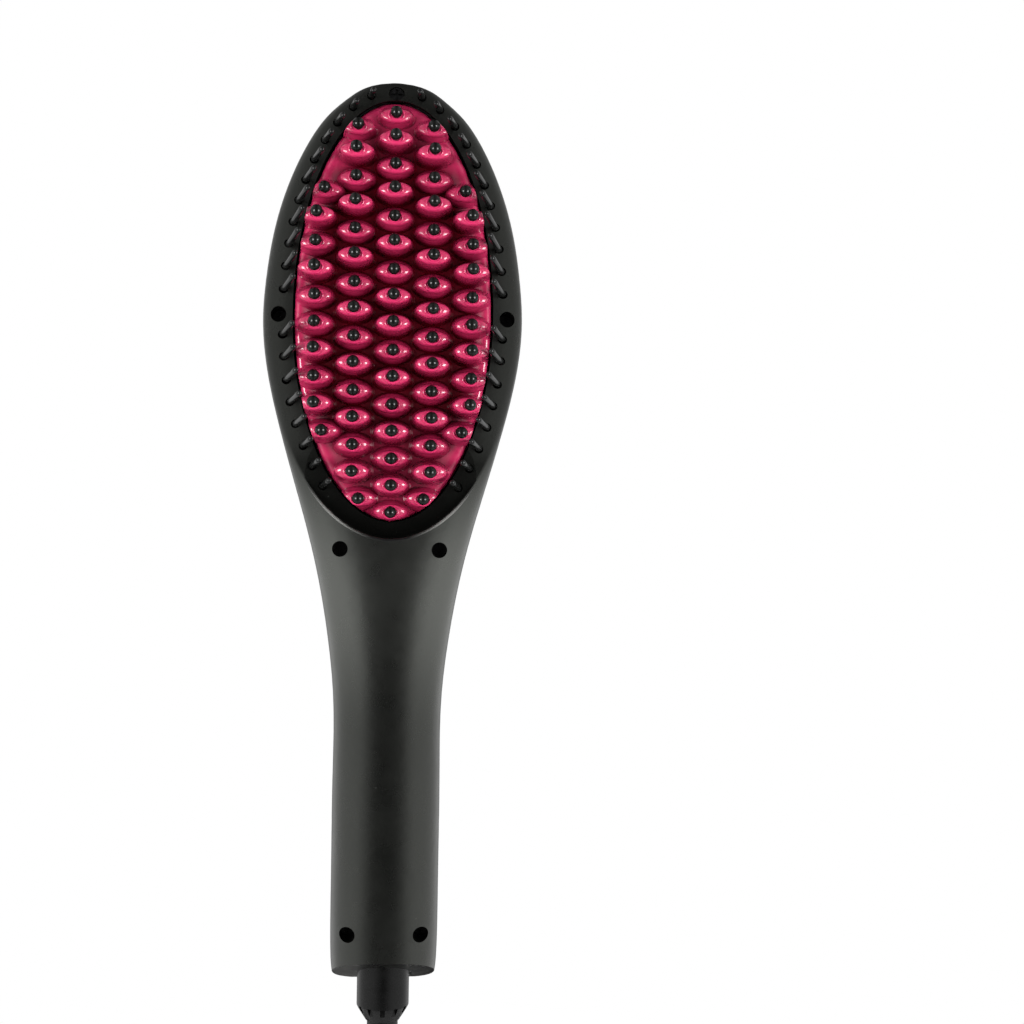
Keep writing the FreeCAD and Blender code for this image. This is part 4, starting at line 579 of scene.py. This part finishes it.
def dress_nodes():
    """Gives every solid of the frame the finish that carries its slot's name."""
    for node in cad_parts.values():
        for slot in node.material_slots:
            slot.material = FINISHES[slot.material.name.split(".")[0]]


def make_piece(name, mesh, finish, *nodes, slot=None, body="brush_body"):
    """New piece with its finish, riding on a body and standing for the given solids."""
    piece = bpy.data.objects.new(name, mesh)
    bpy.context.scene.collection.objects.link(piece)
    mesh.materials.append(FINISHES[finish])
    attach(piece, body)
    if nodes:
        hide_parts(*nodes)
    return piece


# Shapes


def in_frame(x, down, out):
    """World points in metres of places on the brush."""
    return np.stack(np.broadcast_arrays(x, -out, TIP_Z - down), axis=-1) * MM


def all_round(points):
    """Angles of evenly spaced points round a circle."""
    return np.linspace(0, 2 * math.pi, points, endpoint=False)


def dome_angles(rings):
    """Angles of a round top's rings, from past its foot to short of its pole."""
    return np.linspace(0, math.pi / 2, rings + 2)[1:-1]


def shell_mesh(name, rings, **values):
    """Closed shells from an array of shells, rings, points and axes.

    Neighbouring rings are joined by quads, and the first and last ring of each shell close on a
    pole at their mean. Where the faces would look inward, they are all turned round. The named
    values are one number for each ring point and become attributes.
    """
    shells, count, points = rings.shape[:3]
    poles = rings[:, [0, -1]].mean(axis=2)
    places = np.concatenate([rings.reshape(shells, -1, 3), poles], axis=1)
    here = np.arange(points)
    ahead = (here + 1) % points
    row = np.arange(count - 1)[:, None] * points
    quads = np.stack([row + here, row + ahead, row + points + ahead, row + points + here], axis=-1)
    last = (count - 1) * points
    foot = np.stack([np.full(points, count * points), ahead, here], axis=-1)
    top = np.stack([np.full(points, count * points + 1), last + here, last + ahead], axis=-1)
    start = np.arange(shells)[:, None, None] * places.shape[1]
    fours = (quads.reshape(1, -1, 4) + start).reshape(-1, 4)
    threes = (np.concatenate([foot, top])[None] + start).reshape(-1, 3)
    flat = places.reshape(-1, 3)
    corner = flat[fours] - flat[0]
    if np.einsum("ij,ij->i", corner[:, 0], np.cross(corner[:, 1], corner[:, 2])).sum() < 0:
        fours, threes = fours[:, ::-1], threes[:, ::-1]
    mesh = bpy.data.meshes.new(name)
    mesh.from_pydata(flat.tolist(), [], fours.tolist() + threes.tolist())
    for label, value in values.items():
        whole = np.concatenate([value.reshape(shells, -1), value[:, [0, -1]].mean(axis=2)], axis=1)
        mesh.attributes.new(label, "FLOAT", "POINT").data.foreach_set("value", whole.ravel())
    mesh.shade_smooth()
    return mesh


def arch(down, below):
    """Distance in front of the parting plane of an arch that lies below the rim's own."""
    return RIM_HEIGHT - ARCH_RADIUS + np.sqrt((ARCH_RADIUS - below) ** 2 - (down - ARCH_DOWN) ** 2)


def egg_length(upper):
    """Length of the egg outline from its widest place to its upper or lower end."""
    return np.where(upper, PLATE_WIDEST - PLATE_TOP, PLATE_BOTTOM - PLATE_WIDEST)


def plate_half_width(down):
    """Half width of the egg outline: half ellipses above and below the widest place."""
    along = (down - PLATE_WIDEST) / egg_length(down < PLATE_WIDEST)
    return PLATE_HALF_WIDTH * np.sqrt(np.clip(1 - along ** 2, 0, None))


def valley_rise(inside, down):
    """Share of painted light and shade between the teeth: painted shade in the valleys, painted
    light most at the plate's edge and more towards both ends.
    """
    near = np.clip(1 - (inside - EDGE_LIGHT_INSIDE) / EDGE_LIGHT_REACH, 0, 1) ** EDGE_LIGHT_POWER
    edge = EDGE_LIGHT_SHARE * near * np.interp(down, EDGE_FADE_DOWNS, EDGE_FADE)
    return np.maximum(edge, np.interp(down, VALLEY_DOWNS, VALLEY_LIGHT_SHARES))


def plate_base():
    """Rings and painted light share of the bare plate, from the middle of its back round the edge
    to its front.

    A ring is the egg outline drawn in to a share of its size. The front swells by a bell curve
    just inside the edge and falls away over the edge itself as a quarter circle.
    """
    turn = all_round(PLATE_POINTS)
    share = np.concatenate([BACK_SHARES, EDGE_SHARES, FACE_SHARES])[:, None]
    x = PLATE_HALF_WIDTH * share * np.sin(turn)
    down = PLATE_WIDEST - egg_length(np.cos(turn) > 0) * share * np.cos(turn)
    inside = (1 - share) * PLATE_HALF_WIDTH
    past = np.clip(EDGE_RADIUS - inside, 0, None)
    fall = EDGE_RADIUS - np.sqrt(np.clip(EDGE_RADIUS ** 2 - past ** 2, 0, None))
    swell = SWELL_HEIGHT * np.exp(-((inside - SWELL_INSIDE) / SWELL_SPREAD) ** 2)
    out = arch(down, PLATE_SINK) + swell - fall
    back = len(BACK_SHARES)
    below = np.array([PLATE_UNDER] * (back - 1) + [PLATE_WALL_TOP])[:, None]
    out[:back] = arch(down[:back], below)
    return in_frame(x, down, out)[None], valley_rise(inside, down)[None]


def tooth_places():
    """Across, down and height of every tooth: each second one from a column's ends is tall."""
    across, downs, heights = [], [], []
    for column in (-2, -1, 0, 1, 2):
        count = TEETH_IN_COLUMN[abs(column)]
        row = np.arange(count)
        down = TOOTH_FIRST + (row + (TEETH_IN_COLUMN[0] - count) / 2) * TOOTH_PITCH
        edge = plate_half_width(down) - TOOTH_EDGE_GAP - LEAST_TOOTH_REACH
        across.append(np.copysign(np.minimum(abs(column) * COLUMN_PITCH, edge), column))
        downs.append(down)
        heights.append(np.where(np.minimum(row, count - 1 - row) % 2 == 1, TALL_TOOTH, SHORT_TOOTH))
    return np.concatenate(across), np.concatenate(downs), np.concatenate(heights)


def tooth_rings():
    """Rings and painted light share of every tooth: ovals from a flared foot up a tapering wall to
    a round crest.

    The foot flares as the square of what is left of its height. The crest's ovals shrink by a
    power of the cosine while they climb by the sine. An oval that would pass the plate's edge
    stops there, which makes one flank along the edge.
    """
    across, downs, heights = (value[:, None, None] for value in tooth_places())
    flare = np.linspace(0, 1, FLARE_RINGS)
    wall = np.linspace(0, 1, WALL_RINGS + 1)[1:]
    dome = dome_angles(CREST_RINGS)
    grow = np.concatenate([[1], (1 - flare) ** 2, 0 * wall, 0 * dome])
    taper = np.concatenate([[0], 0 * flare, wall, 0 * dome + 1])
    shrink = np.concatenate([[1], 0 * flare + 1, 0 * wall + 1, np.cos(dome) ** CREST_POWER])
    wide, deep = ((foot + (crest - foot) * taper) * shrink + extra * grow
                  for foot, crest, extra in zip(TOOTH_FOOT, TOOTH_CREST, TOOTH_FLARE))
    climb = np.concatenate([[-TOOTH_ROOT], FLARE_RISE * flare, 0 * wall + FLARE_RISE,
                            CREST_RISE * np.sin(dome) + FLARE_RISE])
    climb = climb[:, None] + taper[:, None] * (heights - CREST_RISE - FLARE_RISE)
    turn = all_round(TOOTH_POINTS)
    down = downs + deep[:, None] * np.sin(turn)
    limit = plate_half_width(down) - TOOTH_EDGE_GAP / 2
    x = np.clip(across + wide[:, None] * np.cos(turn), -limit, limit)
    along = (down - PLATE_WIDEST) / egg_length(down < PLATE_WIDEST)
    inside = (1 - np.hypot(x / PLATE_HALF_WIDTH, along)) * PLATE_HALF_WIDTH
    # Painted shade down each tooth's wall, from the crest's full colour, no darker than the
    # valley's
    rise = np.maximum(np.clip(climb / heights, 0, 1), valley_rise(inside, down))
    return in_frame(x, down, arch(down, PLATE_SINK) + climb), rise


def collar_rings():
    """Rings and painted light share of the collar round every tip: a half-round bead on an oval
    along the crest.

    The profile runs out under the crest's skin, over the bead and back under it. The crest's
    skin lies at the root of what a power of the share of its oval leaves of one.
    """
    across, downs, heights = (value[:, None, None] for value in tooth_places())
    aside = COLLAR_BEAD * np.concatenate([[1], np.cos(COLLAR_ARC), [-1]])[:, None]
    bead = COLLAR_BEAD * np.sin(COLLAR_ARC)
    lift = np.concatenate([[-COLLAR_ROOT], bead, [-COLLAR_ROOT]])[:, None]
    turn = all_round(COLLAR_POINTS)
    x = (COLLAR_REACH[0] + aside) * np.cos(turn)
    down = (COLLAR_REACH[1] + aside) * np.sin(turn)
    share = np.hypot(x / TOOTH_CREST[0], down / TOOTH_CREST[1])
    crest = CREST_RISE * (np.sqrt(np.clip(1 - share ** (2 / CREST_POWER), 0, None)) - 1)
    out = arch(downs, PLATE_SINK) + heights + crest + lift
    rings = in_frame(across + x, downs + down, out)
    # The collars take the crests' full colour, with no painted shade
    return rings, np.ones(rings.shape[:3])


def make_coated(name, shells, *nodes):
    """Piece of the heating plate from its rings and the share of painted light and shade on them.
    """
    rings, rise = shells
    return make_piece(name, shell_mesh(name, rings, rise=rise), "plate_coating", *nodes)


def make_plate():
    """Heating plate: the bare plate, its teeth and the teeth's collars as three sets of shells."""
    return (make_coated("heating_plate_face", plate_base(), "heating_plate"),
            make_coated("heating_teeth", tooth_rings()),
            make_coated("tip_collars", collar_rings()))


def bristle_places():
    """Across and down of every bristle: even slots along the rim's middle line on both sides."""
    turn = BRISTLE_ANGLES
    x = (PLATE_HALF_WIDTH + BRISTLE_OFFSET) * np.sin(turn)
    down = PLATE_WIDEST - (egg_length(np.cos(turn) > 0) + BRISTLE_OFFSET) * np.cos(turn)
    run = np.append(0, np.cumsum(np.hypot(np.diff(x), np.diff(down))))
    slots = np.delete(np.arange(BRISTLE_SLOTS), BRISTLE_SCREW_SLOT) / (BRISTLE_SLOTS - 1) * run[-1]
    x, down = np.interp(slots, run, x), np.interp(slots, run, down)
    return np.concatenate([x, -x]), np.concatenate([down, down])


def make_bristles():
    """Rim bristles: tapering pins from under the rim, through its leaning holes, to a round tip.

    A hole leans towards the plate's middle, half as much along the brush as across. Past the rim a
    pin runs straight to its tip, which lies in by a share of its foot's distance across, and up by
    a lean that grows down the head. The tip's rings shrink by the cosine while they climb by the
    sine.
    """
    across, downs = (value[:, None, None] for value in bristle_places())
    low, high = BRISTLE_RADII
    part = np.linspace(0, 1, BRISTLE_RINGS)
    dome = dome_angles(BRISTLE_TIP_RINGS)
    shoulder = BRISTLE_HEIGHT - high
    level = np.concatenate([[-BRISTLE_FOOT], part * shoulder, shoulder + high * np.sin(dome)])
    radius = np.concatenate([[low], low + (high - low) * part, high * np.cos(dome)])
    level, radius = level[:, None], radius[:, None]
    share = np.clip(level, 0, None) / BRISTLE_HEIGHT
    along = downs - PLATE_WIDEST
    slope = math.tan(math.radians(BRISTLE_HOLE_LEAN)) / np.hypot(across, along)
    lean, rim_lean = slope * (BRISTLE_FOOT + np.minimum(level, 0)), slope * BRISTLE_FOOT
    lean_up = np.interp(downs, BRISTLE_LEAN_DOWNS, BRISTLE_LEAN_UP)
    turn = all_round(BRISTLE_POINTS)
    x = across * (1 - lean + (rim_lean - BRISTLE_LEAN_IN) * share) + radius * np.cos(turn)
    middle = downs - along * lean / 2 + (along * rim_lean / 2 - lean_up) * share
    rings = in_frame(x, middle + radius * np.sin(turn), arch(downs, 0) + level)
    return make_piece("bristles", shell_mesh("bristles", rings), "bristle_black", "rim_bristles")


def make_well_lip():
    """Rounded lip of the well: a thin bead along the ellipse, fading out at both ends.

    Its height falls from the middle by a power of the distance across, as the neck does. The
    bead's radius is the root of what a steep power of the way to an end leaves of one. Its painted
    highlight is a bell curve on each flank.
    """
    way = np.linspace(-1, 1, LIP_RINGS)[:, None]
    turn = np.radians(LIP_REACH) * way
    radius = LIP_RADIUS * np.sqrt(1 + LIP_END_LEFT - way ** LIP_END_POWER)
    middle_x, middle_down = WELL_HALF_WIDTH * np.sin(turn), WELL_HALF_LENGTH * np.cos(turn)
    aside_x, aside_down = WELL_HALF_LENGTH * np.sin(turn), WELL_HALF_WIDTH * np.cos(turn)
    aside = np.hypot(aside_x, aside_down)
    circle = all_round(LIP_POINTS)
    off = LIP_SINK + radius * np.cos(circle)
    x = middle_x + aside_x / aside * off
    down = WELL_CENTRE_DOWN + middle_down + aside_down / aside * off
    crest = LIP_TOP_OUT - LIP_FALL * np.abs(middle_x) ** LIP_FALL_POWER
    out = crest - LIP_SINK + radius * np.sin(circle)
    # Painted highlight: pale on both flanks of the lip, dark in its middle
    wear = np.exp(-((np.abs(way) - LIP_HIGHLIGHT_PLACE) / LIP_HIGHLIGHT_SPREAD) ** 2) + 0 * x
    mesh = shell_mesh("well_lip", in_frame(x, down, out)[None], wear=wear[None])
    make_piece("well_lip", mesh, "painted_highlight_edge", slot="soft_black")


def panel_edge():
    """Across, down and out along the panel's edge: ends bowed by a parabola, straight sides.

    Each place is the mean of its neighbours on both sides, which rounds the corners.
    """
    way = np.linspace(-1, 1, PANEL_END_STEPS, endpoint=False)
    fall = np.linspace(0, 1, PANEL_SIDE_STEPS, endpoint=False)
    bow = 1 - way ** 2
    (wide, top, top_bow), (narrow, low, low_bow) = PANEL_TOP, PANEL_LOW
    upper = (wide * way, top + top_bow * bow, np.interp(np.abs(wide * way), *TOP_EDGE_OUT))
    lower = (-narrow * way, low + low_bow * bow, np.interp(np.abs(narrow * way), *LOW_EDGE_OUT))
    right, left = ((side * (wide + (narrow - wide) * share), top + (low - top) * share,
                    np.interp(top + (low - top) * share, *SIDE_EDGE_OUT))
                   for side, share in ((1, fall), (-1, 1 - fall)))
    edge = np.concatenate([np.stack(part, axis=-1) for part in (upper, right, lower, left)])
    near = range(-SEAM_ROUNDING, SEAM_ROUNDING + 1)
    return np.mean([np.roll(edge, step, axis=0) for step in near], axis=0)


def make_seam():
    """Dark seam round the panel: circles along the panel's edge, square to it, the last joined to
    the first."""
    middle = panel_edge()
    along = np.roll(middle, -1, axis=0) - np.roll(middle, 1, axis=0)
    aside = np.cross(along, [0.0, 0.0, 1.0])
    lift = np.cross(aside, along)
    aside, lift = (way / np.linalg.norm(way, axis=1, keepdims=True) for way in (aside, lift))
    turn = all_round(SEAM_POINTS)[:, None]
    circles = np.cos(turn) * aside[:, None] + np.sin(turn) * lift[:, None]
    rings = middle[:, None] + SEAM_RADIUS * circles
    here = np.arange(rings.shape[0] * rings.shape[1]).reshape(rings.shape[:2])
    ahead = np.roll(here, -1, axis=1)
    quads = np.stack([here, ahead, np.roll(ahead, -1, axis=0), np.roll(here, -1, axis=0)], axis=-1)
    mesh = bpy.data.meshes.new("panel_seam")
    mesh.from_pydata(in_frame(*np.moveaxis(rings, -1, 0)).reshape(-1, 3).tolist(), [],
                     quads.reshape(-1, 4).tolist())
    mesh.shade_smooth()
    make_piece("panel_seam", mesh, "mask_black", slot="panel_gloss")


def flat_mesh(name, corners):
    """Flat faces that look back, from an array of faces, corners and (x, down, out)."""
    count, sides = corners.shape[:2]
    mesh = bpy.data.meshes.new(name)
    mesh.from_pydata(in_frame(*np.moveaxis(corners, -1, 0)).reshape(-1, 3).tolist(), [],
                     np.arange(count * sides).reshape(count, sides).tolist())
    return mesh


def bar_corners(x, down, out, wide, tall):
    """Corners of one upright rectangle round a place."""
    return [[x - wide / 2, down - tall / 2, out], [x + wide / 2, down - tall / 2, out],
            [x + wide / 2, down + tall / 2, out], [x - wide / 2, down + tall / 2, out]]


def make_border():
    """Dark border round the lit part of the display: four faces between two rectangles."""
    level = GLASS_OUT - BORDER_LIFT
    edge = np.array(bar_corners(0, DISPLAY_DOWN, level, *GLASS_SIZE))
    lit = np.array(bar_corners(0, LIT_DOWN, level, *LIT_SIZE))
    sides = np.stack([edge, np.roll(edge, -1, axis=0), np.roll(lit, -1, axis=0), lit], axis=1)
    make_piece("display_border", flat_mesh("display_border", sides), "mask_black",
               slot="holder_black")


def make_figures():
    """Plain number in seven-stroke figures on the display.

    A stroke is a bar with pointed ends; an upright one is a flat one with its axes swapped. The
    figures slant by a share of the height, and are mirrored because the display looks back.
    """
    half, quarter, stroke = DIGIT_SIZE[0] / 2, DIGIT_SIZE[1] / 4, DIGIT_STROKE / 2
    along, aside = np.array([[-1, 0], [-1, 1], [1, 1], [1, 0], [1, -1], [-1, -1]]).T
    corners = []
    for place, figure in enumerate(FIGURES, -(len(FIGURES) // 2)):
        for letter in figure:
            across, down, upright = STROKES[letter]
            reach = (quarter if upright else half) - DIGIT_GAP
            x, y = along * (reach - stroke * np.abs(aside)), aside * stroke
            if upright:
                x, y = y[::-1], x[::-1]
            y = y + down * quarter
            x = x + across * half + place * DIGIT_PITCH - DIGIT_SLANT * y
            corners.append(np.stack([-x, y + LIT_DOWN, 0 * x + GLASS_OUT - FIGURE_LIFT], axis=1))
    make_piece("display_figures", flat_mesh("display_figures", np.array(corners)), "digit_ink",
               slot="display_blue")


def make_marks():
    """Grey faces on the keys' raised marks. The ring is a strip between two circles, with an
    opening at its top."""
    arm = (MARK_LENGTH - MARK_WIDTH) / 2
    out = PAIR_MARK_OUT - MARK_LIFT
    step = (MARK_WIDTH + arm) / 2
    minus = bar_corners(0, MINUS_DOWN, out, MARK_LENGTH, MARK_WIDTH)
    plus = [bar_corners(0, PLUS_DOWN, out, MARK_LENGTH, MARK_WIDTH),
            bar_corners(0, PLUS_DOWN - step, out, MARK_WIDTH, arm),
            bar_corners(0, PLUS_DOWN + step, out, MARK_WIDTH, arm)]
    out = POWER_MARK_OUT - MARK_LIFT
    open_half = math.asin(RING_OPENING / RING_RADIUS)
    turn = np.linspace(open_half, 2 * math.pi - open_half, RING_POINTS)
    circle = np.stack([np.sin(turn), -np.cos(turn), 0 * turn], axis=1)
    inner, outer = (circle * radius + [0, POWER_DOWN, out]
                    for radius in (RING_RADIUS - MARK_WIDTH / 2, RING_RADIUS + MARK_WIDTH / 2))
    ring = np.stack([inner[:-1], outer[:-1], outer[1:], inner[1:]], axis=1)
    stroke = bar_corners(0, POWER_DOWN - RING_RADIUS, out, MARK_WIDTH, 2 * RING_RADIUS)
    marks = {"plus": np.array(plus), "minus": np.array([minus]),
             "power": np.concatenate([ring, [stroke]])}
    for key, corners in marks.items():
        make_piece(key + "_mark", flat_mesh(key + "_mark", corners), "mark_grey", slot="stem_grey",
                   body=key + "_key")


# Cord


def cord_points():
    """Control points of the cord in millimetres.

    Straight down from the relief, level along the floor, then half circles in the plane: each
    starts where the one before it ends, in on the first layer and out on the second. A climb
    follows (1 - cos) / 2 of its half turn. A quarter circle and a short run end at the plug.
    """
    drop = LEAD_RUN * math.cos(math.pi / 4)
    layer = CORD_EXIT - LEAD_RUN - drop
    reach = drop + LEAD_RUN
    heading = math.atan2(reach, COIL_RADIUS)
    way = np.array([math.cos(heading), math.sin(heading), 0.0])
    lead = np.array([[0, 0, CORD_EXIT], [0, 0, CORD_EXIT - LEAD_RUN], way * drop + [0, 0, layer]])
    steps = list(range(COIL_HALF_TURNS + 1)) + list(range(COIL_HALF_TURNS - 1, 0, -1))
    radii = [COIL_RADIUS - step * COIL_PITCH / 2 for step in steps]
    levels = [0.0] * (COIL_HALF_TURNS + 1) + [COIL_PITCH] * (COIL_HALF_TURNS - 1) + [PLUG_LEVEL]
    angle = math.pi * np.arange(POINTS_PER_HALF_TURN) / POINTS_PER_HALF_TURN
    climb = (1 - np.cos(angle)) / 2
    turns = []
    start, side = COIL_RADIUS, 1
    for radius, low, high in zip(radii, levels, levels[1:]):
        turns.append(np.stack([start - 2 * side * radius * climb, side * radius * np.sin(angle),
                               low + (high - low) * climb], axis=1))
        start -= side * 2 * radius
        side = -side
    bend = np.linspace(0, math.pi / 2, TOP_TURN_POINTS)
    turns.append(np.stack([start - TOP_TURN_RADIUS * (1 - np.cos(bend)),
                           TOP_TURN_RADIUS * np.sin(bend), 0 * bend + PLUG_LEVEL], axis=1))
    turns.append([[start - TOP_TURN_RADIUS - TAIL_LENGTH, TOP_TURN_RADIUS, PLUG_LEVEL]])
    cos, sin = math.cos(heading - math.pi / 2), math.sin(heading - math.pi / 2)
    spin = np.array([[cos, sin, 0], [-sin, cos, 0], [0, 0, 1]])
    coil = np.concatenate(turns) @ spin + [0, math.hypot(reach, COIL_RADIUS), layer]
    return np.concatenate([lead, coil])


def make_cord():
    """Round cord swept along one NURBS line through the route's control points."""
    points = cord_points() * MM
    curve = bpy.data.curves.new("cord", "CURVE")
    curve.dimensions = "3D"
    curve.bevel_depth = CORD_WIDTH / 2 * MM
    curve.bevel_resolution = 5
    curve.resolution_u = 6
    curve.use_fill_caps = True
    line = curve.splines.new("NURBS")
    line.points.add(len(points) - 1)
    line.points.foreach_set("co", np.column_stack([points, np.ones(len(points))]).ravel())
    line.order_u = 3
    line.use_endpoint_u = True
    piece = make_piece("cord", curve, "cord_black", "power_cord", "cord_coil")


# Camera, floor and light


def make_camera():
    """Camera before the toothed side, turned to put the brush left of the middle and slightly
    rolled."""
    lens = bpy.data.cameras.new("camera")
    lens.sensor_fit = "HORIZONTAL"
    lens.angle = 2 * math.atan(CAMERA_HALF_VIEW / CAMERA_DISTANCE)
    camera = bpy.data.objects.new("camera", lens)
    camera.location = (0.0, -CAMERA_DISTANCE * MM, CAMERA_HEIGHT * MM)
    camera.rotation_euler = np.radians([90, CAMERA_ROLL, CAMERA_TURN])
    bpy.context.scene.collection.objects.link(camera)
    bpy.context.scene.camera = camera


def eye_rays(tree):
    """Two node values: one on rays to the eye, and one on those and on reflections."""
    path = add_node(tree, "LightPath").outputs
    seen = combine(tree, "MAXIMUM", path["Is Camera Ray"], path["Is Transmission Ray"])
    return seen, combine(tree, "MAXIMUM", seen, path["Is Glossy Ray"])


def room_glow(tree, seen, direction):
    """Brightness of the surroundings: full to the eye. In reflections it is pale at the sides and
    dim ahead, behind and overhead, by the share of a direction that lies along X."""
    unit = vector_math(tree, "NORMALIZE", direction)
    split = add_node(tree, "SeparateXYZ", unit.outputs["Vector"])
    aside = add_node(tree, "Math", split.outputs["X"])
    aside.operation = "ABSOLUTE"
    cards = span(tree, aside.outputs[0], CARD_SPAN, CARD_GLOW, smooth=True)
    return combine(tree, "MAXIMUM", seen, cards)


def make_floor():
    """Pale floor: lit and shadowed near the brush, plain white to the eye further off."""
    corners = np.array([[-1, -1, 0], [1, -1, 0], [1, 1, 0], [-1, 1, 0]]) * FLOOR_REACH
    mesh = bpy.data.meshes.new("floor")
    mesh.from_pydata((corners + [0, 0, FLOOR_Z * MM]).tolist(), [], [(0, 1, 2, 3)])
    floor = bpy.data.objects.new("floor", mesh)
    bpy.context.scene.collection.objects.link(floor)
    material = bpy.data.materials.new("floor_white")
    material.use_nodes = True
    mesh.materials.append(material)
    tree = material.node_tree
    tree.nodes.clear()
    place = object_place(tree)
    seen, shown = eye_rays(tree)
    far = vector_math(tree, "LENGTH", place)
    plain = combine(tree, "MULTIPLY", shown, span(tree, far.outputs["Value"], FLOOR_FADE))
    paint = add_node(tree, "BsdfDiffuse", Color=FLOOR_PAINT)
    glow = add_node(tree, "Emission", Color=WHITE, Strength=room_glow(tree, seen, place))
    mix = add_node(tree, "MixShader", plain, paint.outputs[0], glow.outputs[0])
    add_node(tree, "OutputMaterial", Surface=mix.outputs[0])


def make_world():
    """White surroundings to the eye, between two black cards in reflections, softer as light."""
    world = bpy.data.worlds.new("studio")
    bpy.context.scene.world = world
    world.use_nodes = True
    tree = world.node_tree
    tree.nodes.clear()
    seen, shown = eye_rays(tree)
    place = add_node(tree, "TexCoord").outputs["Generated"]
    soft = add_node(tree, "Background", Color=WHITE, Strength=SOFT_LIGHT)
    room = add_node(tree, "Background", Color=WHITE, Strength=room_glow(tree, seen, place))
    mix = add_node(tree, "MixShader", shown, soft.outputs[0], room.outputs[0])
    add_node(tree, "OutputWorld", Surface=mix.outputs[0])


def add_light(name, place, aim, size, power, only=()):
    """Square soft box at a place, facing a point. Reflections show the surroundings, not the box.

    A box for some pieces only lights just them, and they reflect it too.
    """
    lamp = bpy.data.lights.new(name, "AREA")
    lamp.shape = "SQUARE"
    lamp.size = size
    lamp.energy = power
    lamp_object = bpy.data.objects.new(name, lamp)
    way = np.array(place) - np.array(aim)
    level = math.hypot(way[0], way[1])
    lamp_object.location = place
    lamp_object.visible_glossy = bool(only)
    lamp_object.rotation_euler = (math.atan2(level, way[2]), 0, math.atan2(way[0], -way[1]))
    bpy.context.scene.collection.objects.link(lamp_object)
    if only:
        pieces = bpy.data.collections.new(name)
        for piece in only:
            pieces.objects.link(piece)
        lamp_object.light_linking.receiver_collection = pieces


dress_nodes()
make_camera()
make_floor()
make_world()
for box in ROOM_BOXES:
    add_light(*box)
make_cord()
toothed = [*make_plate(), make_bristles(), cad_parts["tooth_tips"]]
for box in GLINT_BOXES:
    add_light(*box, toothed)
make_well_lip()
make_seam()
make_border()
make_figures()
make_marks()
bpy.context.scene.view_settings.view_transform = "Standard"
